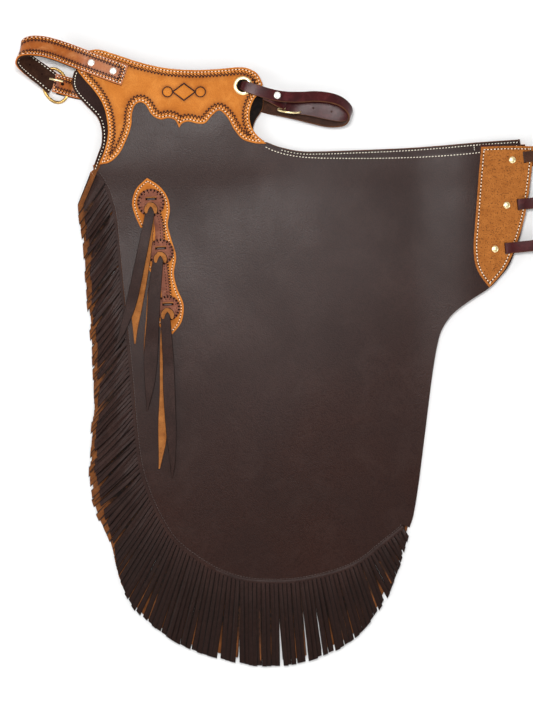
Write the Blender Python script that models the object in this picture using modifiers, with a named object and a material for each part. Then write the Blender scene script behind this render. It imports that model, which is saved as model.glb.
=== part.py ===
# Chinks: short fringed riding chaps of leather, laid flat and folded one leg on the other.
# The ground is z = 0. The waist points to +Y, the fringed outer edges to -X, the leg straps to +X.
# Every length and place is in millimetres from a point near the middle of the upper leg, and the
# empty that carries the pieces turns them into metres about the middle of the whole garment.
import math
from collections import namedtuple

import bmesh
import bpy
from mathutils import Vector

MM = 0.001
MIDDLE_X = -30.03
MIDDLE_Y = 0.22

# Thickness of each leather, and the clearance left between two pieces that touch
GAP = 0.3
LEG_WALL = 2.0
YOKE_WALL = 2.6
PATCH_WALL = 2.0
FACING_WALL = 1.2
FRINGE_WALL = 1.8
PANEL_WALL = 2.2
ROSETTE_WALL = 1.2
STRING_WALL = 2.0
STRAP_WALL = 2.6
BELT_FACE_WALL = 2.0
BELT_LINING_WALL = 1.4
BELT_GAP = 0.6
STRAP_ROOM = 1.4

STRAP_WIDTH = 15.9
BELT_WIDTH = 31.0
LEG_SETBACK = 1.2
LOWER_YOKE_SETBACK = 6.0
FACING_SETBACK = 0.7
TOP_FACING_WIDTH = 19.0
SEAM_GAP = 0.9
OUTLINE_STEP = 9.0
SCALLOP_STEP = 5.5

# The lower leg is the upper one turned over and laid under it, a little askew
LOWER_TURN = math.radians(1.2)
LOWER_SHIFT = Vector((-4.5, 6.4))

# A ramp lifts a layer by its rise between two parallel lines that lie across its direction
Ramp = namedtuple("Ramp", "direction start end rise")
OVER_YOKE = Ramp(110, 265, 370, YOKE_WALL + STRAP_WALL + 2 * GAP + STRAP_ROOM)
OVER_PATCH = Ramp(0, 150, 215, PATCH_WALL + GAP)
OVER_FACING = Ramp(90, 244, 272, FACING_WALL + GAP)
OVER_STRAPS = Ramp(0, 150, 215, STRAP_WALL + GAP)

# A level is a surface of the folded garment: the ramps under it and its height where it is lowest
Level = namedtuple("Level", "ramps height")
LOWER = Level((OVER_YOKE, OVER_PATCH), 0.0)
UPPER = Level((OVER_YOKE, OVER_PATCH, OVER_FACING, OVER_STRAPS), LEG_WALL + GAP)

# Outlines in x and y. Each run is smooth, and runs meet at corners
YOKE_LEFT = (
    (-321, 274), (-313, 294), (-308, 316), (-309, 338), (-315, 361), (-328, 382), (-343, 399), (-353, 412),
)
YOKE_TOP = (
    (-353, 412), (-353, 424), (-345, 436), (-324, 442), (-298, 435), (-261, 423), (-225, 415),
    (-188, 412), (-152, 413), (-115, 416), (-98, 412), (-88, 404), (-82, 391),
)
YOKE_RIGHT = (
    (-82, 391), (-89, 377), (-96, 367), (-101, 351), (-100, 334), (-92, 319), (-77, 305),
)
YOKE_EDGES = (YOKE_LEFT, YOKE_TOP, YOKE_RIGHT)
YOKE_SCALLOPS_RIGHT = (
    (-77, 305), (-95, 306), (-112, 312), (-124, 326), (-133, 342), (-145, 353), (-155, 347),
    (-166, 335), (-177, 334), (-191, 337), (-200, 334), (-204, 328),
)
YOKE_SCALLOPS_LEFT = (
    (-204, 328), (-210, 339), (-220, 342), (-232, 340), (-244, 347), (-253, 361), (-261, 365),
    (-269, 360), (-273, 347), (-274, 332), (-280, 313), (-291, 291), (-305, 278), (-321, 274),
)
YOKE_SCALLOPS = (YOKE_SCALLOPS_RIGHT, YOKE_SCALLOPS_LEFT)
UPPER_TOP = (
    (-77, 305), (-64, 299), (-42, 293), (-12, 289.5), (45, 288.5), (104, 289), (162, 291),
    (209, 294), (250, 298), (312, 301),
)
LEG_RIGHT = (
    (312, 301), (311, 274), (307, 233), (302, 201), (294, 167), (280, 129), (266, 110), (249, 93),
    (220, 74), (196, 55), (181, 33), (174, 9), (168, -26), (162, -72), (155, -131), (147, -193),
    (140, -236), (134, -256),
)
LOWER_LEFT = (
    (-332, 268), (-325, 288), (-319.5, 303), (-318.3, 318), (-320, 331), (-325, 343), (-336, 355),
    (-351, 371), (-359, 382), (-362, 392), (-361, 404), (-358, 412),
)
LOWER_WAIST = (
    (-358, 412), (-352, 424), (-340, 433), (-300, 430), (-261, 418), (-225, 410), (-152, 408),
    (-115, 411), (-96, 406), (-84, 390),
)
LOWER_RIGHT = (
    (-84, 390), (-80, 369), (-82, 354), (-91, 340), (-95, 328), (-92, 320), (-79, 310),
)
LOWER_EDGES = (LOWER_LEFT, LOWER_WAIST, LOWER_RIGHT)
LOWER_TOP = (
    (-79, 310), (-57, 302), (-28, 296), (2, 295.6), (45, 297), (118, 300), (177, 304), (235, 309), (294, 313),
)
PATCH_LEFT = (
    (249, 95), (236, 112), (228, 131), (226, 157), (228, 186), (231, 226), (234, 266), (237, 300),
)
PATCH_TOP = ((237, 300), (276, 301.5), (313, 301))
PATCH_RIGHT = (
    (313, 301), (311, 272), (306, 231), (301, 201), (292, 169), (281, 140), (269, 118), (249, 95),
)
SIDE_PANEL_RIGHT = (
    (-251, 255), (-232, 242), (-221, 226), (-218, 208), (-221, 187), (-216, 166), (-209, 141),
    (-212, 115), (-207, 93), (-198, 70), (-201, 45), (-214, 27),
)
SIDE_PANEL_LEFT = (
    (-214, 27), (-230, 35), (-241, 54), (-241, 76), (-236, 96), (-243, 112), (-252, 128), (-255, 148),
    (-248, 168), (-247, 180), (-261, 183),
)
SIDE_PANEL_TOP_LOBE = ((-261, 183), (-269, 201), (-273, 219), (-267, 239), (-251, 255))

# The fringe: where a strand leaves the seam, where its tip lies, and how much further the strand of
# the lower leg reaches
FringeRow = namedtuple("FringeRow", "root_x root_y tip_x tip_y lower_reach")
FRINGE_ROWS = (
    FringeRow(-324, 264, -344, 217, 0),
    FringeRow(-312, 246, -343, 203, 0),
    FringeRow(-304, 226, -339, 176, 1),
    FringeRow(-298, 201, -336, 147, 2),
    FringeRow(-293, 155, -333, 101, 3),
    FringeRow(-285, 72, -325, 18, 4),
    FringeRow(-276, -14, -322, -69, 5),
    FringeRow(-267, -116, -326, -174, 11),
    FringeRow(-260, -166, -318, -221, 12),
    FringeRow(-248, -205, -301, -275, 8),
    FringeRow(-232, -240, -290, -332, 3),
    FringeRow(-209, -275, -257, -388, 0),
    FringeRow(-172, -304, -203, -427, -3),
    FringeRow(-136, -323, -150, -447, -4),
    FringeRow(-101, -332, -102, -457, -4),
    FringeRow(-61, -334, -55, -458, -4),
    FringeRow(-25, -331, -12, -450, -4),
    FringeRow(23, -320, 48, -421, -4),
    FringeRow(60, -304, 88, -377, -4),
    FringeRow(93, -278, 115, -318, -4),
    FringeRow(123, -254, 130, -269, -4),
)
UPPER_STRANDS = 146
LOWER_STRANDS = 100
STRAND_SHARE = 0.64
FRINGE_STRIP = 3.2

# A band's stations: its middle line, the heading of its width (from +X), how far the end of the
# width that points to +Y dips, and its width
Station = namedtuple("Station", "x y z heading dip width")
BELT_PATH = (
    Station(-283, 404, 18.0, 71, 0, BELT_WIDTH),
    Station(-300, 410, 18.0, 71, 0, BELT_WIDTH),
    Station(-332, 422, 18.0, 71, 0, BELT_WIDTH),
    Station(-343, 426, 18.2, 71, 1, BELT_WIDTH),
    Station(-360, 432, 22, 72, 7, BELT_WIDTH),
    Station(-380, 438.5, 29, 74, 13, BELT_WIDTH),
    Station(-400, 443, 37, 77, 18, BELT_WIDTH),
    Station(-418, 443, 42.5, 78, 22, BELT_WIDTH),
    Station(-430, 438, 41, 76, 26, BELT_WIDTH),
    Station(-433.5, 429, 32, 71, 29, BELT_WIDTH),
    Station(-425, 421, 21, 61, 24, BELT_WIDTH),
    Station(-413, 412, 14.5, 55, 17, BELT_WIDTH),
    Station(-404, 405.5, 12.2, 54, 13, BELT_WIDTH),
    Station(-394, 397.6, 10.4, 53, 9, BELT_WIDTH),
    Station(-386, 391.5, 8.2, 53, 5, BELT_WIDTH),
)
BUCKLE_STRAP_PATH = (
    Station(-387, 394, 12.6, 75, 0, 27),
    Station(-379, 392, 11.4, 75, 0, 27),
    Station(-372, 390.3, 8.8, 75, 0, 27),
    Station(-367, 389.1, 5.8, 75, 0, 27),
    Station(-361.5, 387.8, 2.9, 75, 0, 27),
    Station(-355, 386.4, 2.3, 75, 0, 27),
    Station(-344, 384, 2.3, 75, 0, 27),
    Station(-312, 377, 2.3, 75, 0, 27),
)
FRONT_STRAP_PATH = (
    Station(-114, 390, 11.9, 70, 0, 11.5),
    Station(-113, 389.7, 15.4, 70, 0, 11.5),
    Station(-110, 388.7, 18.6, 70, 0, 13.5),
    Station(-104, 386.6, 19.6, 70, 0, STRAP_WIDTH),
    Station(-92, 382.5, 20.1, 70, 0, STRAP_WIDTH),
    Station(-77, 377.5, 22, 70, 3, STRAP_WIDTH),
    Station(-62, 373.5, 25, 74, 6, STRAP_WIDTH),
    Station(-45, 371, 29.5, 82, 9, STRAP_WIDTH),
    Station(-25, 370.3, 34, 88, 12, STRAP_WIDTH),
    Station(-5, 370.8, 38, 90, 16, STRAP_WIDTH),
    Station(15, 368.5, 40, 86, 21, STRAP_WIDTH),
    Station(31, 363, 39.5, 80, 26, STRAP_WIDTH),
    Station(42, 354.5, 34, 72, 31, STRAP_WIDTH),
    Station(45.5, 346, 25, 68, 35, STRAP_WIDTH),
    Station(41, 338.5, 15, 72, 38, STRAP_WIDTH),
    Station(30, 335.3, 9.4, 82, 39, STRAP_WIDTH),
    Station(12, 335.6, 7.4, 86, 39, STRAP_WIDTH),
    Station(-12, 341, 7.1, 78, 38, STRAP_WIDTH),
    Station(-30, 345.8, 7.0, 77, 36, STRAP_WIDTH),
    Station(-46, 350, 6.2, 77, 28, STRAP_WIDTH),
    Station(-60, 353.8, 4.6, 77, 15, STRAP_WIDTH),
    Station(-72, 357, 3.0, 77, 3, STRAP_WIDTH),
    Station(-82, 359.5, 2.2, 77, 0, STRAP_WIDTH),
    Station(-112, 366, 2.2, 77, 0, STRAP_WIDTH),
)
FRONT_TAIL_PATH = (
    Station(-34, 358.7, 17.5, 84, 24, STRAP_WIDTH),
    Station(-20, 358.8, 18.5, 86, 26, STRAP_WIDTH),
    Station(-4, 357.6, 19.5, 83, 28, STRAP_WIDTH),
    Station(14, 353.5, 21, 78, 30, STRAP_WIDTH),
    Station(30, 348.5, 22.5, 74, 33, STRAP_WIDTH),
    Station(42, 344.8, 23.6, 70, 34, 13),
)
FRONT_BUCKLE_STRAP_PATH = (
    Station(-79, 376, 18.3, 70, 0, STRAP_WIDTH),
    Station(-68, 372, 19.7, 70, 3, STRAP_WIDTH),
    Station(-58, 365.5, 18.8, 74, 15, 14),
    Station(-49, 359, 16.0, 77, 28, 12.5),
)

# The leg straps leave slots in the patch, reach past the leg, turn down and come back between the
# legs, shifted along +Y by their drift
LegStrap = namedtuple("LegStrap", "x y drift")
LEG_STRAPS = (LegStrap(300, 285, -6), LegStrap(291, 216, 0), LegStrap(273, 152, 0))
LEG_STRAP_HEADING = math.radians(6)
LEG_STRAP_REACH = 379
LEG_STRAP_RETURN = 46
SLOT_WIDTH = 3.6
SLOT_LENGTH = 17.2
# The straps of the lower leg lie flat between the legs: where each starts, at its left end
LOWER_STRAPS = ((236, 296.2), (232, 233), (220, 170))
LOWER_STRAP_LENGTH = 30
LOWER_PATCH_DROP = 9

# The strings of the side panel: two tails of each pair, one with the grain up and one with the
# flesh up, each given by its middle line, height over the leg and width
TailRow = namedtuple("TailRow", "x y height width")
STRINGS = {
    "string_grain_1": (
        TailRow(-246, 215, 6.7, 9), TailRow(-247, 203, 6.8, 13.5), TailRow(-253, 172, 6.8, 14.5),
        TailRow(-263, 123, 6.0, 15.5), TailRow(-273, 77, 3.4, 15.5), TailRow(-280, 53, 2.8, 13),
        TailRow(-289, 27, 2.4, 8), TailRow(-296, 12, 2.2, 2),
    ),
    "string_flesh_1": (
        TailRow(-246.5, 196, 4.3, 12), TailRow(-250, 165, 4.3, 14), TailRow(-254, 132, 4.0, 14.5),
        TailRow(-261, 91, 0.5, 14.5), TailRow(-267, 59, 0.4, 14.5), TailRow(-268.5, 36, 0.4, 8),
        TailRow(-269, 13, 0.4, 2),
    ),
    "string_grain_2": (
        TailRow(-232.5, 145, 6.7, 9), TailRow(-235, 134, 6.8, 15), TailRow(-240, 91, 5.6, 18.5),
        TailRow(-242, 50, 5.4, 18.5), TailRow(-244.5, 15, 3.2, 20), TailRow(-246, -14, 2.8, 20),
        TailRow(-247.5, -48, 2.6, 14), TailRow(-251, -85, 2.2, 2),
    ),
    "string_flesh_2": (
        TailRow(-236.5, 130, 4.3, 10), TailRow(-243.5, 91, 2.9, 13), TailRow(-246.5, 50, 2.9, 13),
        TailRow(-248.5, 20, 0.5, 14), TailRow(-249.5, -5, 0.4, 13), TailRow(-249.5, -26, 0.4, 8),
        TailRow(-249, -40, 0.4, 2),
    ),
    "string_grain_3": (
        TailRow(-222.5, 61, 6.7, 9), TailRow(-224, 50, 6.8, 14), TailRow(-222, 18, 5.4, 15.5),
        TailRow(-220, -15, 3.2, 16.5), TailRow(-219, -55, 2.8, 17.5), TailRow(-216, -113, 2.6, 15.3),
        TailRow(-214, -157, 2.2, 8.8), TailRow(-214.5, -183, 1.8, 2),
    ),
    "string_flesh_3": (
        TailRow(-225, 45, 4.3, 11), TailRow(-225.5, 22, 2.9, 13), TailRow(-226, -5, 0.5, 14),
        TailRow(-226, -55, 0.4, 14), TailRow(-228.5, -100, 0.4, 13), TailRow(-229, -128, 0.4, 12),
        TailRow(-231, -150, 0.4, 7), TailRow(-233.5, -170, 0.4, 2),
    ),
}
Rosette = namedtuple("Rosette", "x y")
ROSETTES = (Rosette(-245.5, 220), Rosette(-231.5, 149), Rosette(-221.5, 64))
ROSETTE_RADIUS = 15.5
ROSETTE_SCALLOPS = 16
ROSETTE_SCALLOP_DEPTH = 0.9
LOOP_RADIUS = 7.4
LOOP_WIDTH = 4.0
LOOP_HALF_ANGLE = math.radians(105)

BELT_RIVETS = ((-332, 422), (-300, 410))
PATCH_RIVETS = ((282, 281), (274, 215), (257, 151))
FRONT_RIVET = (-61, 373.5, 28.1)
FRONT_RIVET_TILT = math.radians(-13)
RIVET_RADIUS = 5.2
RIVET_HEIGHT = 2.0

GROMMET = (-111, 389)
GROMMET_RADIUS = 14.0
GROMMET_HOLE = 8.8
GROMMET_BARREL = 10.4
GROMMET_FLANGE = 2.4
GROMMET_CLEARANCE = 0.4

BUCKLE_MIDDLE = (-386.5, 391)
BUCKLE_LONG = 17
BUCKLE_SHORT = 26
BUCKLE_TURN = math.radians(18)
BUCKLE_WIRE = 1.7
BUCKLE_TONGUE = ((-374, 395.6, 13.2), (-380, 396.8, 14.9), (-387, 398, 15.4), (-393, 399.3, 14.6))
TONGUE_WIRE = 1.2
FRONT_BUCKLE_MIDDLE = (-49, 357)
FRONT_BUCKLE_HEIGHT = 16.2
FRONT_BUCKLE_LONG = 12.5
FRONT_BUCKLE_SHORT = 11.0
FRONT_BUCKLE_DIP = math.radians(30)
FRONT_BUCKLE_WIRE = 1.1

# A small raised figure stands in the middle of the yoke: a lozenge between two domes
FIGURE_MIDDLE = (-197, 380)
FIGURE_LOZENGE = (15, 11)
FIGURE_DOME_RADIUS = 6.5
FIGURE_DOME_OFFSET = 24
FIGURE_HEIGHT = 1.6

Finish = namedtuple("Finish", "color roughness metallic")
FINISHES = {
    "leather_dark": Finish((0.045, 0.034, 0.032), 0.55, 0),
    "leather_tan": Finish((0.52, 0.22, 0.06), 0.5, 0),
    "suede_tan": Finish((0.36, 0.17, 0.06), 0.9, 0),
    "suede_rust": Finish((0.25, 0.1, 0.035), 0.9, 0),
    "leather_red_brown": Finish((0.26, 0.09, 0.05), 0.6, 0),
    "leather_burgundy": Finish((0.07, 0.025, 0.028), 0.35, 0),
    "lining_brown": Finish((0.06, 0.028, 0.015), 0.7, 0),
    "brass": Finish((0.72, 0.6, 0.3), 0.25, 1),
    "nickel": Finish((0.8, 0.79, 0.74), 0.2, 1),
}


def clear_scene():
    for obj in list(bpy.data.objects):
        bpy.data.objects.remove(obj, do_unlink=True)


def make_material(name, finish):
    material = bpy.data.materials.new(name)
    material.use_nodes = True
    shader = material.node_tree.nodes["Principled BSDF"]
    shader.inputs["Base Color"].default_value = (*finish.color, 1)
    shader.inputs["Roughness"].default_value = finish.roughness
    shader.inputs["Metallic"].default_value = finish.metallic
    return material


def new_object(name, data, material):
    data.materials.clear()
    data.materials.append(materials[material])
    obj = bpy.data.objects.new(name, data)
    garment.objects.link(obj)
    obj.parent = middle
    return obj


def object_from_bmesh(name, material, bm):
    bmesh.ops.recalc_face_normals(bm, faces=bm.faces)
    mesh = bpy.data.meshes.new(name)
    bm.to_mesh(mesh)
    bm.free()
    return new_object(name, mesh, material)


def lift(level, x, y):
    """Height of a level's surface over the point x, y."""
    height = level.height
    for ramp in level.ramps:
        angle = math.radians(ramp.direction)
        along = x * math.cos(angle) + y * math.sin(angle)
        height += ramp.rise * min(max((along - ramp.start) / (ramp.end - ramp.start), 0), 1)
    return height


def above(level, height):
    return Level(level.ramps, level.height + height)


def as_lower(points):
    """The same points on the lower leg."""
    turned = []
    for x, y in points:
        turned.append((
            x * math.cos(LOWER_TURN) - y * math.sin(LOWER_TURN) + LOWER_SHIFT.x,
            x * math.sin(LOWER_TURN) + y * math.cos(LOWER_TURN) + LOWER_SHIFT.y,
        ))
    return turned


def smooth(rows, step):
    """Points about one step apart on a smooth curve through the rows, read in all their columns."""
    rows = [Vector(row) for row in rows]
    padded = [2 * rows[0] - rows[1], *rows, 2 * rows[-1] - rows[-2]]
    points = [rows[0]]
    for before, start, end, after in zip(padded, padded[1:], padded[2:], padded[3:]):
        span = Vector(end[:3]) - Vector(start[:3]) if len(end) > 2 else end - start
        parts = max(1, round(span.length / step))
        for part in range(1, parts + 1):
            t = part / parts
            slope = (end - before) * t
            bend = (2 * before - 5 * start + 4 * end - after) * t ** 2
            twist = (3 * start - before - 3 * end + after) * t ** 3
            points.append(start + (slope + bend + twist) / 2)
    return points


def beside(points, distance):
    """The open line moved to its left by the distance."""
    points = [Vector(point[:2]) for point in points]
    moved = []
    for i, point in enumerate(points):
        into = (point - points[max(i - 1, 0)]).normalized()
        out = (points[min(i + 1, len(points) - 1)] - point).normalized()
        heading = (into + out).normalized()
        across = Vector((-heading.y, heading.x))
        squeeze = max(heading.dot(into or out), 0.5)
        moved.append(point + across * distance / squeeze)
    return moved


def join(*runs):
    """One closed outline from runs that follow each other, without their repeated corners."""
    outline = []
    for run in runs:
        for point in run:
            if not outline or (Vector(point[:2]) - Vector(outline[-1])).length > 0.5:
                outline.append(tuple(point[:2]))
    if (Vector(outline[0]) - Vector(outline[-1])).length < 0.5:
        outline.pop()
    return outline


def circle(center, radius, sides=24):
    turns = [2 * math.pi * side / sides for side in range(sides)]
    return [(center[0] + radius * math.cos(a), center[1] + radius * math.sin(a)) for a in turns]


def slot(strap):
    along = Vector((math.cos(LEG_STRAP_HEADING), math.sin(LEG_STRAP_HEADING)))
    across = Vector((-along.y, along.x)) * SLOT_LENGTH / 2
    along *= SLOT_WIDTH / 2
    corners = (along + across, across - along, -along - across, along - across)
    return [(strap.x + corner.x, strap.y + corner.y) for corner in corners]


def flat_mesh(outline, holes):
    """The filled outline as a mesh, from a flat curve."""
    curve = bpy.data.curves.new("outline", "CURVE")
    curve.dimensions = "2D"
    curve.fill_mode = "BOTH"
    for loop in (outline, *holes):
        spline = curve.splines.new("POLY")
        spline.points.add(len(loop) - 1)
        for point, (x, y) in zip(spline.points, loop):
            point.co = (x, y, 0, 1)
        spline.use_cyclic_u = True
    guide = bpy.data.objects.new("outline", curve)
    garment.objects.link(guide)
    graph = bpy.context.evaluated_depsgraph_get()
    mesh = bpy.data.meshes.new_from_object(guide.evaluated_get(graph))
    bpy.data.objects.remove(guide)
    return mesh


def sheet(name, material, level, thickness, outline, holes=()):
    """A piece of leather cut to an outline, laid on a level and following its ramps."""
    bm = bmesh.new()
    bm.from_mesh(flat_mesh(outline, holes))
    bmesh.ops.remove_doubles(bm, verts=bm.verts, dist=0.01)
    bmesh.ops.dissolve_limit(bm, angle_limit=0.01, verts=bm.verts, edges=bm.edges)
    for ramp in level.ramps:
        angle = math.radians(ramp.direction)
        across = Vector((math.cos(angle), math.sin(angle), 0))
        for distance in (ramp.start, ramp.end):
            everything = bm.verts[:] + bm.edges[:] + bm.faces[:]
            bmesh.ops.bisect_plane(bm, geom=everything, dist=0.001, plane_co=across * distance, plane_no=across)
    raised = bmesh.ops.extrude_face_region(bm, geom=bm.faces[:], use_keep_orig=True)["geom"]
    for vert in bm.verts:
        vert.co.z = lift(level, vert.co.x, vert.co.y)
    for vert in raised:
        if isinstance(vert, bmesh.types.BMVert):
            vert.co.z += thickness
    return object_from_bmesh(name, material, bm)


def band(name, material, path, thickness, offset=0.0, step=6.0):
    """A strap swept along its stations. Its middle layer lies the offset off the middle line."""
    stations = smooth(path, step)
    bm = bmesh.new()
    rings = []
    for i, station in enumerate(stations):
        x, y, z, heading, dip, width = station
        place = Vector((x, y, z))
        ahead = Vector(stations[min(i + 1, len(stations) - 1)][:3])
        behind = Vector(stations[max(i - 1, 0)][:3])
        tangent = (ahead - behind).normalized()
        flat = Vector((math.cos(math.radians(heading)), math.sin(math.radians(heading)), 0))
        side = flat * math.cos(math.radians(dip)) - Vector((0, 0, math.sin(math.radians(dip))))
        side = (side - tangent * side.dot(tangent)).normalized()
        normal = tangent.cross(side)
        center = place + normal * offset
        half = side * width / 2
        wall = normal * thickness / 2
        corners = (center - half - wall, center + half - wall, center + half + wall, center - half + wall)
        rings.append([bm.verts.new(corner) for corner in corners])
    for ring, following in zip(rings, rings[1:]):
        for corner in range(4):
            beyond = (corner + 1) % 4
            bm.faces.new((ring[corner], ring[beyond], following[beyond], following[corner]))
    bm.faces.new(rings[0])
    bm.faces.new(rings[-1])
    return object_from_bmesh(name, material, bm)


def turned(name, material, profile, place, sides=24, closed=False):
    """A round piece: its profile (radius, height) runs from the top of its outer side down."""
    bm = bmesh.new()
    verts = [bm.verts.new((radius, 0, height)) for radius, height in profile]
    for start, end in zip(verts, verts[1:]):
        bm.edges.new((start, end))
    if closed:
        bm.edges.new((verts[-1], verts[0]))
    mesh = bpy.data.meshes.new(name)
    bm.to_mesh(mesh)
    bm.free()
    obj = new_object(name, mesh, material)
    obj.location = place
    screw = obj.modifiers.new("turn", "SCREW")
    screw.steps = sides
    screw.render_steps = sides
    screw.use_merge_vertices = True
    screw.merge_threshold = 0.0001
    return obj


def rivet(name, material, place):
    profile = (
        (0, RIVET_HEIGHT), (RIVET_RADIUS * 0.6, RIVET_HEIGHT * 0.88),
        (RIVET_RADIUS * 0.92, RIVET_HEIGHT * 0.5), (RIVET_RADIUS, 0), (0, 0),
    )
    return turned(name, material, profile, place, sides=16)


def wire(name, material, points, radius, closed=False):
    """A round wire along the points, its ends capped where it is open."""
    curve = bpy.data.curves.new(name, "CURVE")
    curve.dimensions = "3D"
    curve.bevel_depth = radius
    curve.bevel_resolution = 2
    curve.use_fill_caps = not closed
    spline = curve.splines.new("POLY")
    spline.points.add(len(points) - 1)
    for point, place in zip(spline.points, points):
        point.co = (*place, 1)
    spline.use_cyclic_u = closed
    return new_object(name, curve, material)


def ring_points(center, height, long, short, turn, dip=0.0, sides=26):
    """An oval in a plane that dips towards +Y."""
    points = []
    for x, y in circle((0, 0), 1, sides):
        x, y, z = x * long, y * short * math.cos(dip), -y * short * math.sin(dip)
        points.append((
            center[0] + x * math.cos(turn) - y * math.sin(turn),
            center[1] + x * math.sin(turn) + y * math.cos(turn),
            height + z,
        ))
    return points


def fringe_rows(lower):
    """The fringe table as four columns, moved to the lower leg where that is asked for."""
    rows = []
    for row in FRINGE_ROWS:
        root = (row.root_x, row.root_y)
        tip = Vector((row.tip_x, row.tip_y))
        if lower:
            outwards = (tip - Vector(root)).normalized()
            root, tip = as_lower((root, tip + outwards * row.lower_reach))
        rows.append((*root, *tip))
    return rows


def seam_line(lower):
    return [point[:2] for point in smooth([row[:2] for row in fringe_rows(lower)], OUTLINE_STEP)]


def comb(lower, count):
    """Outline of a fringe: a narrow strip along the seam, cut into strands on its outer side."""
    rows = smooth(fringe_rows(lower), 2.0)
    travelled = [0.0]
    for start, end in zip(rows, rows[1:]):
        travelled.append(travelled[-1] + (Vector(end[:2]) - Vector(start[:2])).length)

    def at(length):
        i = max(1, next((k for k, done in enumerate(travelled) if done >= length), len(rows) - 1))
        part = (length - travelled[i - 1]) / (travelled[i] - travelled[i - 1])
        return rows[i - 1].lerp(rows[i], min(part, 1))

    pitch = travelled[-1] / count
    outline = [tuple(point) for point in reversed(beside(seam_line(lower), SEAM_GAP - LEG_SETBACK))]
    for strand in range(count):
        first = at(strand * pitch)
        last = at((strand + STRAND_SHARE) * pitch)
        ends = []
        for row in (first, last):
            root = Vector(row[:2])
            tip = Vector(row[2:])
            ends.append((root + (tip - root).normalized() * FRINGE_STRIP * 1.4, tip))
        (root_a, tip_a), (root_b, tip_b) = ends
        outline += [tuple(root_a), tuple(tip_a), tuple(tip_b), tuple(root_b)]
    return outline


def leg_outline(runs, seam):
    """The leather of a leg, set back from the edge of what lies on it and from the seam."""
    waist = [beside(smooth(run, OUTLINE_STEP), -LEG_SETBACK) for run in runs]
    return join(*waist, beside(list(reversed(seam)), -LEG_SETBACK))


def make_legs():
    upper_holes = [circle(GROMMET, GROMMET_BARREL + GROMMET_CLEARANCE)] + [slot(strap) for strap in LEG_STRAPS]
    sheet(
        "leg_upper", "leather_dark", UPPER, LEG_WALL,
        leg_outline((*YOKE_EDGES, UPPER_TOP, LEG_RIGHT), seam_line(False)), upper_holes,
    )
    lower_right = [LOWER_TOP[-1], *as_lower(LEG_RIGHT[1:])]
    lower_runs = (*LOWER_EDGES, LOWER_TOP, lower_right)
    sheet("leg_lower", "leather_dark", LOWER, LEG_WALL, leg_outline(lower_runs, seam_line(True)))


def make_fringes():
    sheet("fringe_upper", "leather_dark", UPPER, FRINGE_WALL, comb(False, UPPER_STRANDS))
    sheet("fringe_lower", "suede_rust", LOWER, FRINGE_WALL, comb(True, LOWER_STRANDS))


def make_yokes():
    hole = [circle(GROMMET, GROMMET_BARREL + GROMMET_CLEARANCE)]
    edges = [smooth(run, OUTLINE_STEP) for run in YOKE_EDGES]
    outline = join(*edges, *(smooth(run, SCALLOP_STEP) for run in YOKE_SCALLOPS))
    sheet("yoke_upper", "leather_tan", above(UPPER, LEG_WALL + GAP), YOKE_WALL, outline, hole)
    edges = [beside(smooth(run, OUTLINE_STEP), -LOWER_YOKE_SETBACK) for run in LOWER_EDGES]
    outline = join(*edges, *(smooth(as_lower(run), SCALLOP_STEP) for run in YOKE_SCALLOPS))
    sheet("yoke_lower", "leather_tan", above(LOWER, -GAP - YOKE_WALL), YOKE_WALL, outline)


def make_yoke_figure():
    level = above(UPPER, LEG_WALL + YOKE_WALL + 2 * GAP)
    x, y = FIGURE_MIDDLE
    half_length, half_height = FIGURE_LOZENGE
    corners = [(x + half_length, y), (x, y + half_height), (x - half_length, y), (x, y - half_height)]
    sheet("yoke_lozenge", "leather_tan", level, FIGURE_HEIGHT, corners)
    profile = (
        (0, FIGURE_HEIGHT * 1.3), (FIGURE_DOME_RADIUS * 0.5, FIGURE_HEIGHT * 1.15),
        (FIGURE_DOME_RADIUS * 0.85, FIGURE_HEIGHT * 0.7), (FIGURE_DOME_RADIUS, 0), (0, 0),
    )
    for name, offset in (("yoke_dome_left", -FIGURE_DOME_OFFSET), ("yoke_dome_right", FIGURE_DOME_OFFSET)):
        turned(name, "leather_tan", profile, (x + offset, y, lift(level, x + offset, y)), sides=20)


def make_facings():
    """The dark facings that line the waist and the top edge of the lower leg, flesh side in."""
    level = above(LOWER, LEG_WALL + GAP)
    setback = -LEG_SETBACK - FACING_SETBACK
    shown = [beside(smooth(run, OUTLINE_STEP), setback) for run in LOWER_EDGES]
    hidden = ((-82, 309), (-120, 322), (-180, 330), (-250, 332), (-300, 304), (-330, 271))
    sheet("facing_waist_lower", "leather_dark", level, FACING_WALL, join(*shown, smooth(hidden, 20)))
    edge = beside(smooth(LOWER_TOP, OUTLINE_STEP), setback)
    inner = beside(smooth(LOWER_TOP, OUTLINE_STEP), setback - TOP_FACING_WIDTH)
    sheet("facing_top_lower", "leather_dark", level, FACING_WALL, join(edge, list(reversed(inner))))


def patch_outline(drop=0.0):
    top = [(x, y - drop) for x, y in PATCH_TOP]
    left = [*PATCH_LEFT[:-1], top[0]]
    right = [top[-1], *PATCH_RIGHT[1:]]
    return join(*(smooth(run, OUTLINE_STEP) for run in (left, top, right)))


def make_patches():
    slots = [slot(strap) for strap in LEG_STRAPS]
    sheet("patch_upper", "suede_tan", above(UPPER, LEG_WALL + GAP), PATCH_WALL, patch_outline(), slots)
    sheet(
        "patch_lower", "suede_tan", above(LOWER, -GAP - PATCH_WALL), PATCH_WALL,
        as_lower(patch_outline(LOWER_PATCH_DROP)),
    )


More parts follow.
